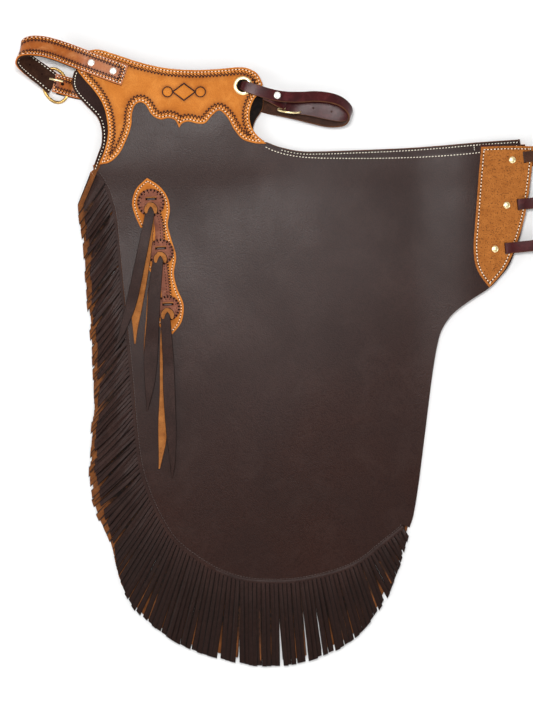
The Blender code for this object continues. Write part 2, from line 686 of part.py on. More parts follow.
def make_side_panel():
    panel_runs = (SIDE_PANEL_RIGHT, SIDE_PANEL_LEFT, SIDE_PANEL_TOP_LOBE)
    outline = join(*(smooth(run, SCALLOP_STEP) for run in panel_runs))
    sheet("side_panel", "leather_tan", above(UPPER, LEG_WALL + GAP), PANEL_WALL, outline)
    rosette_level = above(UPPER, LEG_WALL + PANEL_WALL + 2 * GAP)
    loop_level = above(rosette_level, ROSETTE_WALL + GAP)
    for number, rosette in enumerate(ROSETTES, start=1):
        edge = []
        for x, y in circle((0, 0), 1, 3 * ROSETTE_SCALLOPS):
            scallop = abs(math.cos(ROSETTE_SCALLOPS / 2 * math.atan2(y, x)))
            radius = ROSETTE_RADIUS - ROSETTE_SCALLOP_DEPTH * (1 - scallop)
            edge.append((rosette.x + x * radius, rosette.y + y * radius))
        sheet(f"rosette_{number}", "leather_red_brown", rosette_level, ROSETTE_WALL, edge)
        turns = [math.pi / 2 + LOOP_HALF_ANGLE * part / 8 for part in range(-8, 9)]
        arch = []
        for radius, angles in ((LOOP_RADIUS + LOOP_WIDTH / 2, turns), (LOOP_RADIUS - LOOP_WIDTH / 2, turns[::-1])):
            arch += [(rosette.x + radius * math.cos(a), rosette.y - 2 + radius * math.sin(a)) for a in angles]
        sheet(f"string_loop_{number}", "suede_rust", loop_level, STRING_WALL, arch)


def make_strings():
    """The six tails, each following the leg under it at its own height."""
    leg_top = above(UPPER, LEG_WALL)
    for name, rows in STRINGS.items():
        tail = smooth(rows, 7.0)
        path = []
        for i, (x, y, height, width) in enumerate(tail):
            ahead = tail[min(i + 1, len(tail) - 1)]
            behind = tail[max(i - 1, 0)]
            heading = math.degrees(math.atan2(ahead[1] - behind[1], ahead[0] - behind[0])) + 90
            path.append(Station(x, y, lift(leg_top, x, y) + height + STRING_WALL / 2, heading, 0, width))
        material = "leather_dark" if "grain" in name else "suede_rust"
        band(name, material, path, STRING_WALL, step=12.0)


def make_belt():
    band("belt_face", "leather_tan", BELT_PATH, BELT_FACE_WALL, -(BELT_FACE_WALL + BELT_GAP) / 2, 4.0)
    band("belt_lining", "lining_brown", BELT_PATH, BELT_LINING_WALL, (BELT_LINING_WALL + BELT_GAP) / 2, 4.0)
    for number, (x, y) in enumerate(BELT_RIVETS, start=1):
        rivet(f"belt_rivet_{number}", "nickel", (x, y, BELT_PATH[0].z + BELT_FACE_WALL + GAP * 2))
    band("buckle_strap", "leather_tan", BUCKLE_STRAP_PATH, STRAP_WALL)
    ring = ring_points(BUCKLE_MIDDLE, BUCKLE_WIRE + 0.1, BUCKLE_LONG, BUCKLE_SHORT, BUCKLE_TURN)
    wire("buckle_frame", "brass", ring, BUCKLE_WIRE, closed=True)
    wire("buckle_tongue", "brass", BUCKLE_TONGUE, TONGUE_WIRE)


def make_front_strap():
    band("front_strap", "leather_burgundy", FRONT_STRAP_PATH, STRAP_WALL, step=5.0)
    band("front_tail", "leather_burgundy", FRONT_TAIL_PATH, STRAP_WALL)
    band("front_buckle_strap", "leather_burgundy", FRONT_BUCKLE_STRAP_PATH, STRAP_WALL)
    ring = ring_points(
        FRONT_BUCKLE_MIDDLE, FRONT_BUCKLE_HEIGHT, FRONT_BUCKLE_LONG, FRONT_BUCKLE_SHORT, 0, FRONT_BUCKLE_DIP, sides=20,
    )
    wire("front_buckle_frame", "brass", ring, FRONT_BUCKLE_WIRE, closed=True)
    rivet("front_rivet", "nickel", FRONT_RIVET).rotation_euler.y = FRONT_RIVET_TILT
    yoke_top = lift(above(UPPER, LEG_WALL + GAP + YOKE_WALL), *GROMMET)
    barrel_end = lift(UPPER, *GROMMET) - yoke_top - GAP
    profile = (
        (GROMMET_RADIUS, 0.5), (GROMMET_RADIUS, 0), (GROMMET_BARREL, 0), (GROMMET_BARREL, barrel_end),
        (GROMMET_HOLE, barrel_end), (GROMMET_HOLE, GROMMET_FLANGE * 0.3), (GROMMET_HOLE + 1, GROMMET_FLANGE * 0.6),
        (GROMMET_RADIUS - 2, GROMMET_FLANGE * 0.6),
    )
    turned("grommet", "brass", profile, (*GROMMET, yoke_top + GAP), sides=28, closed=True)


def make_leg_straps():
    """Each strap rises through its slot, runs out, turns down past the leg and comes back under it."""
    along = Vector((math.cos(LEG_STRAP_HEADING), math.sin(LEG_STRAP_HEADING)))
    heading = math.degrees(LEG_STRAP_HEADING) + 90
    for number, strap in enumerate(LEG_STRAPS, start=1):
        under = lift(UPPER, strap.x, strap.y)
        top = under + LEG_WALL + GAP + PATCH_WALL
        between = under - GAP - STRAP_WALL / 2
        reach = LEG_STRAP_REACH - strap.x
        # Columns: distance from the slot, height, share of the sideways drift
        course = (
            (0, under + 0.4, 0), (0, top - 1.6, 0), (0.5, top + 0.6, 0), (2.2, top + 1.9, 0), (6, top + 2.0, 0),
            (18, top + 1.9, 0), (reach * 0.5, top + 3.4, 0), (reach - 14, top + 4.4, 0.1), (reach - 4, top + 2.6, 0.25),
            (reach - 0.6, (top + between) / 2, 0.5), (reach - 5, between - 2.2, 0.75), (reach - 15, between - 2.8, 0.9),
            (reach * 0.5, between - 1.4, 1), (22, between, 1), (0, between, 1), (-LEG_STRAP_RETURN, between, 1),
        )
        path = []
        for distance, height, drift in course:
            spot = Vector((strap.x, strap.y)) + along * distance
            path.append(Station(spot.x, spot.y + strap.drift * drift, height, heading, 0, STRAP_WIDTH))
        band(f"leg_strap_{number}", "leather_burgundy", path, STRAP_WALL, step=8.0)


def make_lower_straps():
    for number, (x, y) in enumerate(LOWER_STRAPS, start=1):
        on_facing = FACING_WALL + GAP if number == 1 else 0
        level = above(LOWER, LEG_WALL + GAP + on_facing)
        half = STRAP_WIDTH / 2
        right = x + LOWER_STRAP_LENGTH
        corners = ((x, y - half), (right, y - half), (right, y + half), (x, y + half))
        sheet(f"lower_strap_{number}", "leather_burgundy", level, STRAP_WALL, corners)


def make_patch_rivets():
    level = above(UPPER, LEG_WALL + PATCH_WALL + 2 * GAP)
    for number, (x, y) in enumerate(PATCH_RIVETS, start=1):
        rivet(f"patch_rivet_{number}", "brass", (x, y, lift(level, x, y)))


clear_scene()
materials = {name: make_material(name, finish) for name, finish in FINISHES.items()}
garment = bpy.data.collections.new("chaps")
bpy.context.scene.collection.children.link(garment)
middle = bpy.data.objects.new("middle", None)
garment.objects.link(middle)
middle.location = (-MIDDLE_X * MM, -MIDDLE_Y * MM, 0)
middle.scale = (MM, MM, MM)

make_legs()
make_fringes()
make_yokes()
make_yoke_figure()
make_facings()
make_patches()
make_side_panel()
make_strings()
make_belt()
make_front_strap()
make_leg_straps()
make_lower_straps()
make_patch_rivets()
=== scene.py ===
import math
import random

import bmesh
import bpy
from mathutils import Matrix, Vector
from mathutils.kdtree import KDTree


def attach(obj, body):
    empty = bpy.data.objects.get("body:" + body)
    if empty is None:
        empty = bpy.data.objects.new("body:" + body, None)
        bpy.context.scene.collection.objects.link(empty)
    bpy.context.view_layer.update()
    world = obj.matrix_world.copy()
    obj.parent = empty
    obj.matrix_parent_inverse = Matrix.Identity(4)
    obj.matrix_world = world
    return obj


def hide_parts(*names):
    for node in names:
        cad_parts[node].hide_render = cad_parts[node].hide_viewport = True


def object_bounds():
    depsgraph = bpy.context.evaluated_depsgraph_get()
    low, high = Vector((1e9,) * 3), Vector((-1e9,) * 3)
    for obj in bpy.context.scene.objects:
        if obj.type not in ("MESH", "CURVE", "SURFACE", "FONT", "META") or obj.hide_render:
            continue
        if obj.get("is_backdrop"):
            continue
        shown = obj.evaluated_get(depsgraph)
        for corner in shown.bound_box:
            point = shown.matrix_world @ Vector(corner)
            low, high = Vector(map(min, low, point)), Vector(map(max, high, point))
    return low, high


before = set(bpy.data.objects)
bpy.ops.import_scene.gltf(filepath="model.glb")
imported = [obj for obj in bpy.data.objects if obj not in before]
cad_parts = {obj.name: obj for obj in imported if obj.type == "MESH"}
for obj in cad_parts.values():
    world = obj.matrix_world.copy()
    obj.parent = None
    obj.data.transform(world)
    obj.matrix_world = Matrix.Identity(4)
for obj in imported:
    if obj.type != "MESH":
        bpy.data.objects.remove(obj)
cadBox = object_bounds()
print("frame loaded")

# Lengths are millimetres from a point on the upper leg; toWorld turns them into the frame's metres
garment = {"shiftX": 30.03, "shiftY": -0.22, "gap": 0.3, "creaseSoftness": 14, "stitchPitch": 5.0}
toWorld = Matrix.Translation((garment["shiftX"] / 1000, garment["shiftY"] / 1000, 0)) @ Matrix.Scale(0.001, 4)
chance = random.Random(11)

# What lies under the legs lifts them in long soft steps: direction, start, end and rise of each step
overYoke = (110, 265, 370, 7.2)
overPatch = (0, 150, 215, 2.3)
overFacing = (90, 244, 272, 1.5)
overStraps = (0, 150, 215, 2.9)
lowerLevel = ((overYoke, overPatch), 0.0)
upperLevel = ((overYoke, overPatch, overFacing, overStraps), 2.3)


def areaUnder(s, start, end):
    if s <= start:
        return 0.0
    if s < end:
        return (s - start) ** 2 / (2 * (end - start))
    return (end - start) / 2 + s - end


def liftHeight(level, x, y):
    steps, height = level
    soft = garment["creaseSoftness"]
    for direction, start, end, rise in steps:
        angle = math.radians(direction)
        s = x * math.cos(angle) + y * math.sin(angle)
        height += rise * (areaUnder(s + soft, start, end) - areaUnder(s - soft, start, end)) / (2 * soft)
    ripple = math.sin(x / 31 + 0.6) * math.cos(y / 43) + math.sin((x - y) / 57)
    return height + 0.3 + 0.12 * ripple


def above(level, height):
    return (level[0], level[1] + height)


# Lines and outlines

def smoothLine(rows, step):
    rows = [Vector(row) for row in rows]
    padded = [2 * rows[0] - rows[1], *rows, 2 * rows[-1] - rows[-2]]
    points = [rows[0]]
    for before, start, end, after in zip(padded, padded[1:], padded[2:], padded[3:]):
        span = Vector(end[:3]) - Vector(start[:3]) if len(end) > 2 else end - start
        parts = max(1, round(span.length / step))
        for part in range(1, parts + 1):
            t = part / parts
            slope = (end - before) * t
            bend = (2 * before - 5 * start + 4 * end - after) * t ** 2
            twist = (3 * start - before - 3 * end + after) * t ** 3
            points.append(start + (slope + bend + twist) / 2)
    return points


def offsetLine(points, distance):
    points = [Vector(point[:2]) for point in points]
    moved = []
    for i, point in enumerate(points):
        into = (point - points[max(i - 1, 0)]).normalized()
        out = (points[min(i + 1, len(points) - 1)] - point).normalized()
        heading = (into + out).normalized()
        across = Vector((-heading.y, heading.x))
        moved.append(point + across * distance / max(heading.dot(into or out), 0.5))
    return moved


def insetLine(points, distance):
    # An offset line without the loops that tight corners give it
    tree = KDTree(len(points))
    for i, point in enumerate(points):
        tree.insert((point[0], point[1], 0), i)
    tree.balance()
    moved = offsetLine(points, distance)
    kept = [point for point in moved if tree.find((point.x, point.y, 0))[2] > abs(distance) * 0.985 - 0.12]
    return kept if len(kept) > 3 else moved


def borderBurnish(outline, rows):
    # Burnish as a function of how far inside the outline a place is
    tree = KDTree(len(outline))
    for i, point in enumerate(outline):
        tree.insert((point[0], point[1], 0), i)
    tree.balance()

    def burnishAt(x, y):
        inside = tree.find((x, y, 0))[2]
        for (nearer, low), (farther, high) in zip(rows, rows[1:]):
            if nearer <= inside < farther:
                return low + (high - low) * (inside - nearer) / (farther - nearer)
        return rows[-1][1]
    return burnishAt


def joinRuns(*runs):
    outline = []
    for run in runs:
        for point in run:
            if not outline or (Vector(point[:2]) - Vector(outline[-1])).length > 0.4:
                outline.append(tuple(point[:2]))
    if (Vector(outline[0]) - Vector(outline[-1])).length < 0.4:
        outline.pop()
    return outline


def circlePoints(center, radius, sides=32):
    turns = [2 * math.pi * side / sides for side in range(sides)]
    return [(center[0] + radius * math.cos(a), center[1] + radius * math.sin(a)) for a in turns]


def walkLine(points, pitch, start=0.0, stop=0.0):
    # Evenly spaced places along a line, each with its heading
    points = [Vector(point[:2]) for point in points]
    lengths = [(b - a).length for a, b in zip(points, points[1:])]
    total = sum(lengths) - start - stop
    count = max(1, round(total / pitch))
    places = []
    for k in range(count + 1):
        wanted = start + total * k / count
        i = 0
        while i < len(lengths) - 1 and wanted > lengths[i]:
            wanted -= lengths[i]
            i += 1
        heading = (points[i + 1] - points[i]).normalized()
        places.append((points[i] + heading * wanted, heading))
    return places


def asLower(points):
    # The same points on the lower leg, which lies a little askew
    turn = math.radians(1.2)
    turned = []
    for x, y in points:
        turned.append((x * math.cos(turn) - y * math.sin(turn) - 4.5, x * math.sin(turn) + y * math.cos(turn) + 6.4))
    return turned


# Shader node groups: masks and heights that several finishes share

def newGroup(name, inputs, outputs):
    group = bpy.data.node_groups.new(name, "ShaderNodeTree")
    for label, value in inputs:
        socket = group.interface.new_socket(name=label, in_out="INPUT", socket_type="NodeSocketFloat")
        socket.default_value = value
    for label in outputs:
        group.interface.new_socket(name=label, in_out="OUTPUT", socket_type="NodeSocketFloat")
    return group, group.nodes.new("NodeGroupInput"), group.nodes.new("NodeGroupOutput")


def addNode(tree, kind, settings=None, values=None):
    node = tree.nodes.new(kind)
    for key, value in (settings or {}).items():
        setattr(node, key, value)
    for key, value in (values or {}).items():
        node.inputs[key].default_value = value
    return node


def mathNode(tree, operation, first, second, clamp=False):
    node = addNode(tree, "ShaderNodeMath", {"operation": operation, "use_clamp": clamp})
    for socket, value in zip(node.inputs, (first, second)):
        if isinstance(value, (int, float)):
            socket.default_value = value
        else:
            tree.links.new(value, socket)
    return node.outputs[0]


def rangeNode(tree, value, low, high, toLow, toHigh):
    node = addNode(tree, "ShaderNodeMapRange", values={1: low, 2: high, 3: toLow, 4: toHigh})
    tree.links.new(value, node.inputs[0])
    return node.outputs[0]


def noiseNode(tree, coordinates, scale, detail, roughness=0.5, distortion=0.0):
    values = {"Detail": detail, "Roughness": roughness, "Distortion": distortion}
    node = addNode(tree, "ShaderNodeTexNoise", values=values)
    tree.links.new(coordinates, node.inputs["Vector"])
    if isinstance(scale, (int, float)):
        node.inputs["Scale"].default_value = scale
    else:
        tree.links.new(scale, node.inputs["Scale"])
    return node.outputs["Fac"]


def buildHideGrain():
    # Pebbled grain with fine pores, and a broad mottling from the dyeing
    group, given, wanted = newGroup(
        "hideGrain", (("Mottle Scale", 9.0), ("Grain Scale", 900.0), ("Pore Scale", 2600.0)),
        ("Mottle", "Grain", "Height"),
    )
    place = addNode(group, "ShaderNodeTexCoord").outputs["Object"]
    mottle = noiseNode(group, place, given.outputs["Mottle Scale"], 5, 0.6, 0.4)
    group.links.new(rangeNode(group, mottle, 0.3, 0.7, 0, 1), wanted.inputs["Mottle"])
    pebble = addNode(group, "ShaderNodeTexVoronoi", {"feature": "SMOOTH_F1"}, {"Smoothness": 0.35})
    group.links.new(place, pebble.inputs["Vector"])
    group.links.new(given.outputs["Grain Scale"], pebble.inputs["Scale"])
    pores = noiseNode(group, place, given.outputs["Pore Scale"], 3, 0.6)
    grain = mathNode(group, "SUBTRACT", 1.0, pebble.outputs["Distance"], True)
    group.links.new(grain, wanted.inputs["Grain"])
    height = mathNode(group, "ADD", mathNode(group, "MULTIPLY", grain, 0.7), mathNode(group, "MULTIPLY", pores, 0.3))
    group.links.new(height, wanted.inputs["Height"])
    return group


def buildNap():
    # The flesh side: short raised fibres, and dark flecks where they are rubbed flat
    group, given, wanted = newGroup(
        "nap", (("Fleck Scale", 420.0), ("Fibre Scale", 1500.0)), ("Flecks", "Height", "Shade"),
    )
    place = addNode(group, "ShaderNodeTexCoord").outputs["Object"]
    flecks = noiseNode(group, place, given.outputs["Fleck Scale"], 4, 0.75)
    group.links.new(rangeNode(group, flecks, 0.53, 0.64, 0, 1), wanted.inputs["Flecks"])
    fibres = noiseNode(group, place, given.outputs["Fibre Scale"], 4, 0.7, 1.2)
    group.links.new(fibres, wanted.inputs["Height"])
    group.links.new(rangeNode(group, noiseNode(group, place, 95.0, 6, 0.7), 0.3, 0.7, 0, 1), wanted.inputs["Shade"])
    return group


def buildRubbed():
    # Wear and handling: faint scuffs, thin scratches and cloudy dulling
    group, given, wanted = newGroup("rubbed", (("Scuff Scale", 30.0), ("Scratch Scale", 140.0)), ("Scuffs", "Scratches"))
    place = addNode(group, "ShaderNodeTexCoord").outputs["Object"]
    scuffs = noiseNode(group, place, given.outputs["Scuff Scale"], 6, 0.68, 0.8)
    group.links.new(rangeNode(group, scuffs, 0.5, 0.72, 0, 1), wanted.inputs["Scuffs"])
    stretched = addNode(group, "ShaderNodeMapping", values={"Rotation": (0.3, 0.2, 0.7), "Scale": (1, 9, 3)})
    group.links.new(place, stretched.inputs["Vector"])
    scratches = noiseNode(group, stretched.outputs["Vector"], given.outputs["Scratch Scale"], 2, 0.5)
    group.links.new(rangeNode(group, scratches, 0.66, 0.74, 0, 1), wanted.inputs["Scratches"])
    return group


def buildBurnishAndShade():
    # Darkening from the pieces' own burnish values: burnish pressed round the tooling, and painted shade on the fringes
    # and on the waist facing under the front strap
    group, given, wanted = newGroup("burnish", (("Breakup Scale", 180.0),), ("Mask",))
    place = addNode(group, "ShaderNodeTexCoord").outputs["Object"]
    burnishAndShadeValues = addNode(group, "ShaderNodeAttribute", {"attribute_name": "burnish"}).outputs["Fac"]
    patchy = rangeNode(group, noiseNode(group, place, given.outputs["Breakup Scale"], 3, 0.6), 0.25, 0.75, 0.6, 1.25)
    group.links.new(mathNode(group, "MULTIPLY", burnishAndShadeValues, patchy, True), wanted.inputs["Mask"])
    return group


hideGrain = buildHideGrain()
nap = buildNap()
rubbed = buildRubbed()
burnish = buildBurnishAndShade()


def startMaterial(name):
    material = bpy.data.materials.new(name)
    material.use_nodes = True
    tree = material.node_tree
    return material, tree, tree.nodes["Principled BSDF"]


def placeGroup(tree, group, values):
    node = tree.nodes.new("ShaderNodeGroup")
    node.node_tree = group
    for label, value in values.items():
        node.inputs[label].default_value = value
    return node


def mixColors(tree, factor, first, second):
    node = addNode(tree, "ShaderNodeMix", {"data_type": "RGBA"})
    for socket, value in ((node.inputs[0], factor), (node.inputs[6], first), (node.inputs[7], second)):
        if isinstance(value, (int, float)):
            socket.default_value = value
        elif isinstance(value, tuple):
            socket.default_value = (*value, 1)
        else:
            tree.links.new(value, socket)
    return node.outputs[2]


def bumpNode(tree, height, strength, distance):
    node = addNode(tree, "ShaderNodeBump", values={"Strength": strength, "Distance": distance})
    tree.links.new(height, node.inputs["Height"])
    return node.outputs["Normal"]


# Mixes in a darker colour by the burnish mask: pressed burnish on the tooled pieces, painted shade on the fringes and
# the waist facing
def mixBurnishAndShade(tree, color, burnishedAndShaded):
    if not burnishedAndShaded:
        return color
    return mixColors(tree, placeGroup(tree, burnish, {}).outputs["Mask"], color, burnishedAndShaded)


def grainLeather(name, look):
    material, tree, shader = startMaterial(name)
    grain = placeGroup(tree, hideGrain, {
        "Mottle Scale": look["mottleScale"], "Grain Scale": look["grainScale"], "Pore Scale": look["grainScale"] * 2.7,
    })
    wear = placeGroup(tree, rubbed, {"Scuff Scale": look["scuffScale"], "Scratch Scale": look["scuffScale"] * 5})
    color = mixColors(tree, grain.outputs["Mottle"], look["deep"], look["pale"])
    pebbles = rangeNode(tree, grain.outputs["Grain"], 0.3, 0.95, look["poreShade"], 0)
    color = mixColors(tree, pebbles, color, look["pore"])
    color = mixColors(tree, mathNode(tree, "MULTIPLY", wear.outputs["Scuffs"], look["scuffs"]), color, look["rubbed"])
    color = mixBurnishAndShade(tree, color, look["burnishedAndShaded"])
    tree.links.new(color, shader.inputs["Base Color"])
    rough = rangeNode(tree, grain.outputs["Mottle"], 0, 1, look["roughness"] + 0.06, look["roughness"] - 0.06)
    rough = mathNode(tree, "ADD", rough, mathNode(tree, "MULTIPLY", wear.outputs["Scratches"], -0.05))
    tree.links.new(rough, shader.inputs["Roughness"])
    tree.links.new(bumpNode(tree, grain.outputs["Height"], look["bump"], 0.0004), shader.inputs["Normal"])
    shader.inputs["Specular IOR Level"].default_value = look["specular"]
    shader.inputs["Coat Weight"].default_value = look["coat"]
    shader.inputs["Coat Roughness"].default_value = 0.25
    return material


def fleshLeather(name, look):
    material, tree, shader = startMaterial(name)
    fibre = placeGroup(tree, nap, {"Fleck Scale": look["fleckScale"], "Fibre Scale": look["fibreScale"]})
    color = mixColors(tree, fibre.outputs["Shade"], look["deep"], look["pale"])
    color = mixColors(tree, mathNode(tree, "MULTIPLY", fibre.outputs["Flecks"], look["flecks"]), color, look["fleck"])
    color = mixBurnishAndShade(tree, color, look["burnishedAndShaded"])
    tree.links.new(color, shader.inputs["Base Color"])
    tree.links.new(rangeNode(tree, fibre.outputs["Height"], 0.3, 0.7, 0.98, 0.86), shader.inputs["Roughness"])
    tree.links.new(bumpNode(tree, fibre.outputs["Height"], look["bump"], 0.0005), shader.inputs["Normal"])
    shader.inputs["Specular IOR Level"].default_value = 0.2
    shader.inputs["Sheen Weight"].default_value = look["sheen"]
    shader.inputs["Sheen Roughness"].default_value = 0.5
    return material


def metalFinish(name, look):
    material, tree, shader = startMaterial(name)
    wear = placeGroup(tree, rubbed, {"Scuff Scale": 90.0, "Scratch Scale": 320.0})
    color = mixColors(tree, mathNode(tree, "MULTIPLY", wear.outputs["Scuffs"], 0.6), look["bright"], look["dull"])
    tree.links.new(color, shader.inputs["Base Color"])
    rough = mathNode(tree, "ADD", mathNode(tree, "MULTIPLY", wear.outputs["Scratches"], 0.12), look["roughness"])
    tree.links.new(rough, shader.inputs["Roughness"])
    tree.links.new(bumpNode(tree, wear.outputs["Scratches"], 0.06, 0.0001), shader.inputs["Normal"])
    shader.inputs["Metallic"].default_value = 1
    return material


def threadFinish(name, look):
    material, tree, shader = startMaterial(name)
    place = addNode(tree, "ShaderNodeTexCoord").outputs["Object"]
    ply = addNode(tree, "ShaderNodeTexWave", {"bands_direction": "DIAGONAL"}, {"Scale": 420.0, "Distortion": 1.0})
    tree.links.new(place, ply.inputs["Vector"])
    color = mixColors(tree, ply.outputs["Fac"], look["deep"], look["pale"])
    tree.links.new(color, shader.inputs["Base Color"])
    tree.links.new(bumpNode(tree, ply.outputs["Fac"], 0.3, 0.0002), shader.inputs["Normal"])
    shader.inputs["Roughness"].default_value = 0.6
    return material


# Each look's fifth colour is mixed in by the burnish mask: pressed burnish on tooled pieces, painted shade on the
# fringes and the waist facing
grainColumns = (
    "deep", "pale", "pore", "rubbed", "burnishedAndShaded", "mottleScale", "grainScale", "scuffScale", "scuffs",
    "poreShade", "roughness", "bump", "specular", "coat",
)
grainLooks = {
    "darkGrain": (
        (0.0275, 0.0108, 0.0078), (0.0435, 0.018, 0.0133), (0.012, 0.005, 0.004), (0.055, 0.033, 0.028), None,
        7, 620, 16, 0.2, 0.65, 0.33, 0.4, 0.125, 0,
    ),
    # The fringe's fifth colour is painted shade: the upper strands are painted darker towards the bottom
    "fringeGrain": (
        (0.028, 0.0122, 0.0098), (0.05, 0.023, 0.0182), (0.009, 0.004, 0.003), (0.05, 0.029, 0.024), (0.012, 0.0052, 0.0038),
        26, 620, 40, 0.25, 0.6, 0.42, 0.4, 0.1, 0,
    ),
    # The facing's near-black fifth colour is a painted shadow on the waist facing's right end, under the front strap
    # and inside the grommet
    "facingGrain": (
        (0.025, 0.0115, 0.0095), (0.04, 0.019, 0.0155), (0.012, 0.005, 0.004), (0.05, 0.03, 0.026), (0.003, 0.0015, 0.0011),
        12, 620, 30, 0.2, 0.6, 0.62, 0.4, 0.07, 0,
    ),
    "tanGrain": (
        (0.47, 0.138, 0.015), (0.7, 0.248, 0.036), (0.29, 0.07, 0.008), (0.74, 0.3, 0.06), (0.11, 0.018, 0.002),
        22, 800, 50, 0.35, 0.35, 0.5, 0.2, 0.07, 0,
    ),
    "beltGrain": (
        (0.34, 0.082, 0.011), (0.57, 0.168, 0.025), (0.26, 0.06, 0.008), (0.78, 0.36, 0.14), (0.09, 0.015, 0.003),
        26, 800, 50, 0.45, 0.35, 0.4, 0.18, 0.2, 0.02,
    ),
    "redBrown": (
        (0.17, 0.042, 0.017), (0.31, 0.087, 0.036), (0.09, 0.022, 0.01), (0.42, 0.17, 0.09), (0.05, 0.01, 0.004),
        60, 900, 90, 0.45, 0.5, 0.5, 0.3, 0.2, 0,
    ),
    "latigo": (
        (0.03, 0.0042, 0.005), (0.078, 0.0105, 0.012), (0.015, 0.003, 0.003), (0.14, 0.03, 0.032), None,
        40, 1000, 80, 0.4, 0.4, 0.33, 0.12, 0.14, 0.02,
    ),
    "lining": (
        (0.028, 0.0095, 0.0042), (0.05, 0.0185, 0.009), (0.013, 0.005, 0.003), (0.08, 0.034, 0.018), None,
        50, 900, 70, 0.4, 0.5, 0.6, 0.3, 0.08, 0,
    ),
    # The near-black of awl holes, punched holes, notches and slots is painted shade: they are flat dark plates, not
    # openings
    "awlHole": (
        (0.012, 0.004, 0.003), (0.022, 0.007, 0.004), (0.008, 0.003, 0.002), (0.04, 0.012, 0.006), None,
        120, 900, 120, 0.2, 0.4, 0.8, 0.2, 0.05, 0,
    ),
    "stamped": (
        (0.028, 0.007, 0.004), (0.055, 0.013, 0.006), (0.018, 0.005, 0.003), (0.1, 0.03, 0.012), None,
        120, 900, 120, 0.3, 0.4, 0.6, 0.2, 0.15, 0,
    ),
    # The beads' paler tan is a painted highlight on the raised beads
    "bead": (
        (0.56, 0.17, 0.02), (0.8, 0.31, 0.055), (0.42, 0.12, 0.02), (0.88, 0.42, 0.11), None,
        160, 900, 120, 0.5, 0.3, 0.45, 0.2, 0.15, 0,
    ),
}
fleshColumns = (
    "deep", "pale", "fleck", "burnishedAndShaded", "fleckScale",
    "fibreScale", "flecks", "bump", "sheen",
)
fleshLooks = {
    "suedeTan": (
        (0.3, 0.092, 0.014), (0.44, 0.15, 0.028), (0.05, 0.015, 0.004), None,
        480, 1100, 0.9, 1, 0.06,
    ),
    # The rust flesh's fifth colour is painted shade: the lower fringe's flesh is painted dark where it lies under the
    # upper leg
    "suedeRust": (
        (0.1, 0.03, 0.007), (0.22, 0.072, 0.017), (0.045, 0.014, 0.005), (0.007, 0.0035, 0.0025),
        500, 1600, 0.6, 0.6, 0.06,
    ),
    "suedeOchre": (
        (0.22, 0.07, 0.014), (0.4, 0.15, 0.036), (0.06, 0.02, 0.007), None,
        500, 1600, 0.5, 0.6, 0.1,
    ),
    "rawEdge": (
        (0.055, 0.02, 0.009), (0.14, 0.052, 0.02), (0.025, 0.009, 0.004), None,
        700, 1800, 0.6, 0.5, 0,
    ),
    "darkEdge": (
        (0.02, 0.01, 0.008), (0.06, 0.026, 0.014), (0.012, 0.006, 0.004), None,
        300, 1800, 0.6, 0.4, 0,
    ),
    "tanEdge": (
        (0.42, 0.1, 0.012), (0.66, 0.21, 0.035), (0.16, 0.04, 0.008), None,
        700, 1800, 0.4, 0.4, 0,
    ),
    "latigoFlesh": (
        (0.028, 0.0105, 0.006), (0.075, 0.027, 0.014), (0.014, 0.006, 0.004), None,
        500, 1600, 0.6, 0.6, 0.1,
    ),
    # The fringe edge is near-black, darker than a cut edge: partly the dark cut edge, partly painted shade for the gaps
    # between strands
    "fringeEdge": (
        (0.005, 0.0025, 0.002), (0.013, 0.0065, 0.005), (0.004, 0.002, 0.0015), None,
        300, 1800, 0.6, 0.4, 0,
    ),
}
threadLooks = {
    "creamThread": {"deep": (0.72, 0.62, 0.46), "pale": (0.98, 0.93, 0.82)},
    "darkThread": {"deep": (0.04, 0.026, 0.023), "pale": (0.095, 0.07, 0.063)},
}
metalLooks = {
    "brass": {"bright": (0.95, 0.8, 0.45), "dull": (0.78, 0.56, 0.24), "roughness": 0.34},
    "darkBrass": {"bright": (0.5, 0.31, 0.1), "dull": (0.17, 0.095, 0.032), "roughness": 0.3},
    "nickel": {"bright": (0.98, 0.96, 0.9), "dull": (0.88, 0.84, 0.74), "roughness": 0.42},
}
finishes = {name: grainLeather(name, dict(zip(grainColumns, row))) for name, row in grainLooks.items()}
finishes |= {name: fleshLeather(name, dict(zip(fleshColumns, row))) for name, row in fleshLooks.items()}
finishes |= {name: threadFinish(name, look) for name, look in threadLooks.items()}
finishes |= {name: metalFinish(name, look) for name, look in metalLooks.items()}
print("finishes ready")


# Pieces

def placePiece(name, mesh, materials, nodes=(), sharpAngle=28):
    mesh.transform(toWorld)
    for finish in materials:
        mesh.materials.append(finishes[finish])
    mesh.shade_smooth()
    mesh.set_sharp_from_angle(angle=math.radians(sharpAngle))
    piece = bpy.data.objects.new(name, mesh)
    bpy.context.scene.collection.objects.link(piece)
    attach(piece, "root")
    if nodes:
        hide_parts(*nodes)
    return piece


def meshFromBmesh(name, bm):
    bmesh.ops.recalc_face_normals(bm, faces=bm.faces)
    mesh = bpy.data.meshes.new(name)
    bm.to_mesh(mesh)
    bm.free()
    return mesh


def fillOutline(outline, holes):
    curve = bpy.data.curves.new("outline", "CURVE")
    curve.dimensions = "2D"
    curve.fill_mode = "BOTH"
    for loop in (outline, *holes):
        spline = curve.splines.new("POLY")
        spline.points.add(len(loop) - 1)
        for point, (x, y) in zip(spline.points, loop):
            point.co = (x, y, 0, 1)
        spline.use_cyclic_u = True
    guide = bpy.data.objects.new("outline", curve)
    bpy.context.scene.collection.objects.link(guide)
    graph = bpy.context.evaluated_depsgraph_get()
    mesh = bpy.data.meshes.new_from_object(guide.evaluated_get(graph))
    bpy.data.objects.remove(guide)
    return mesh


def pressBurnishAndShade(mesh, burnishAt):
    burnishAndShadeValues = mesh.attributes.new("burnish", "FLOAT", "POINT")
    burnishAndShadeValues.data.foreach_set("value", [burnishAt(vert.co.x, vert.co.y) for vert in mesh.vertices])


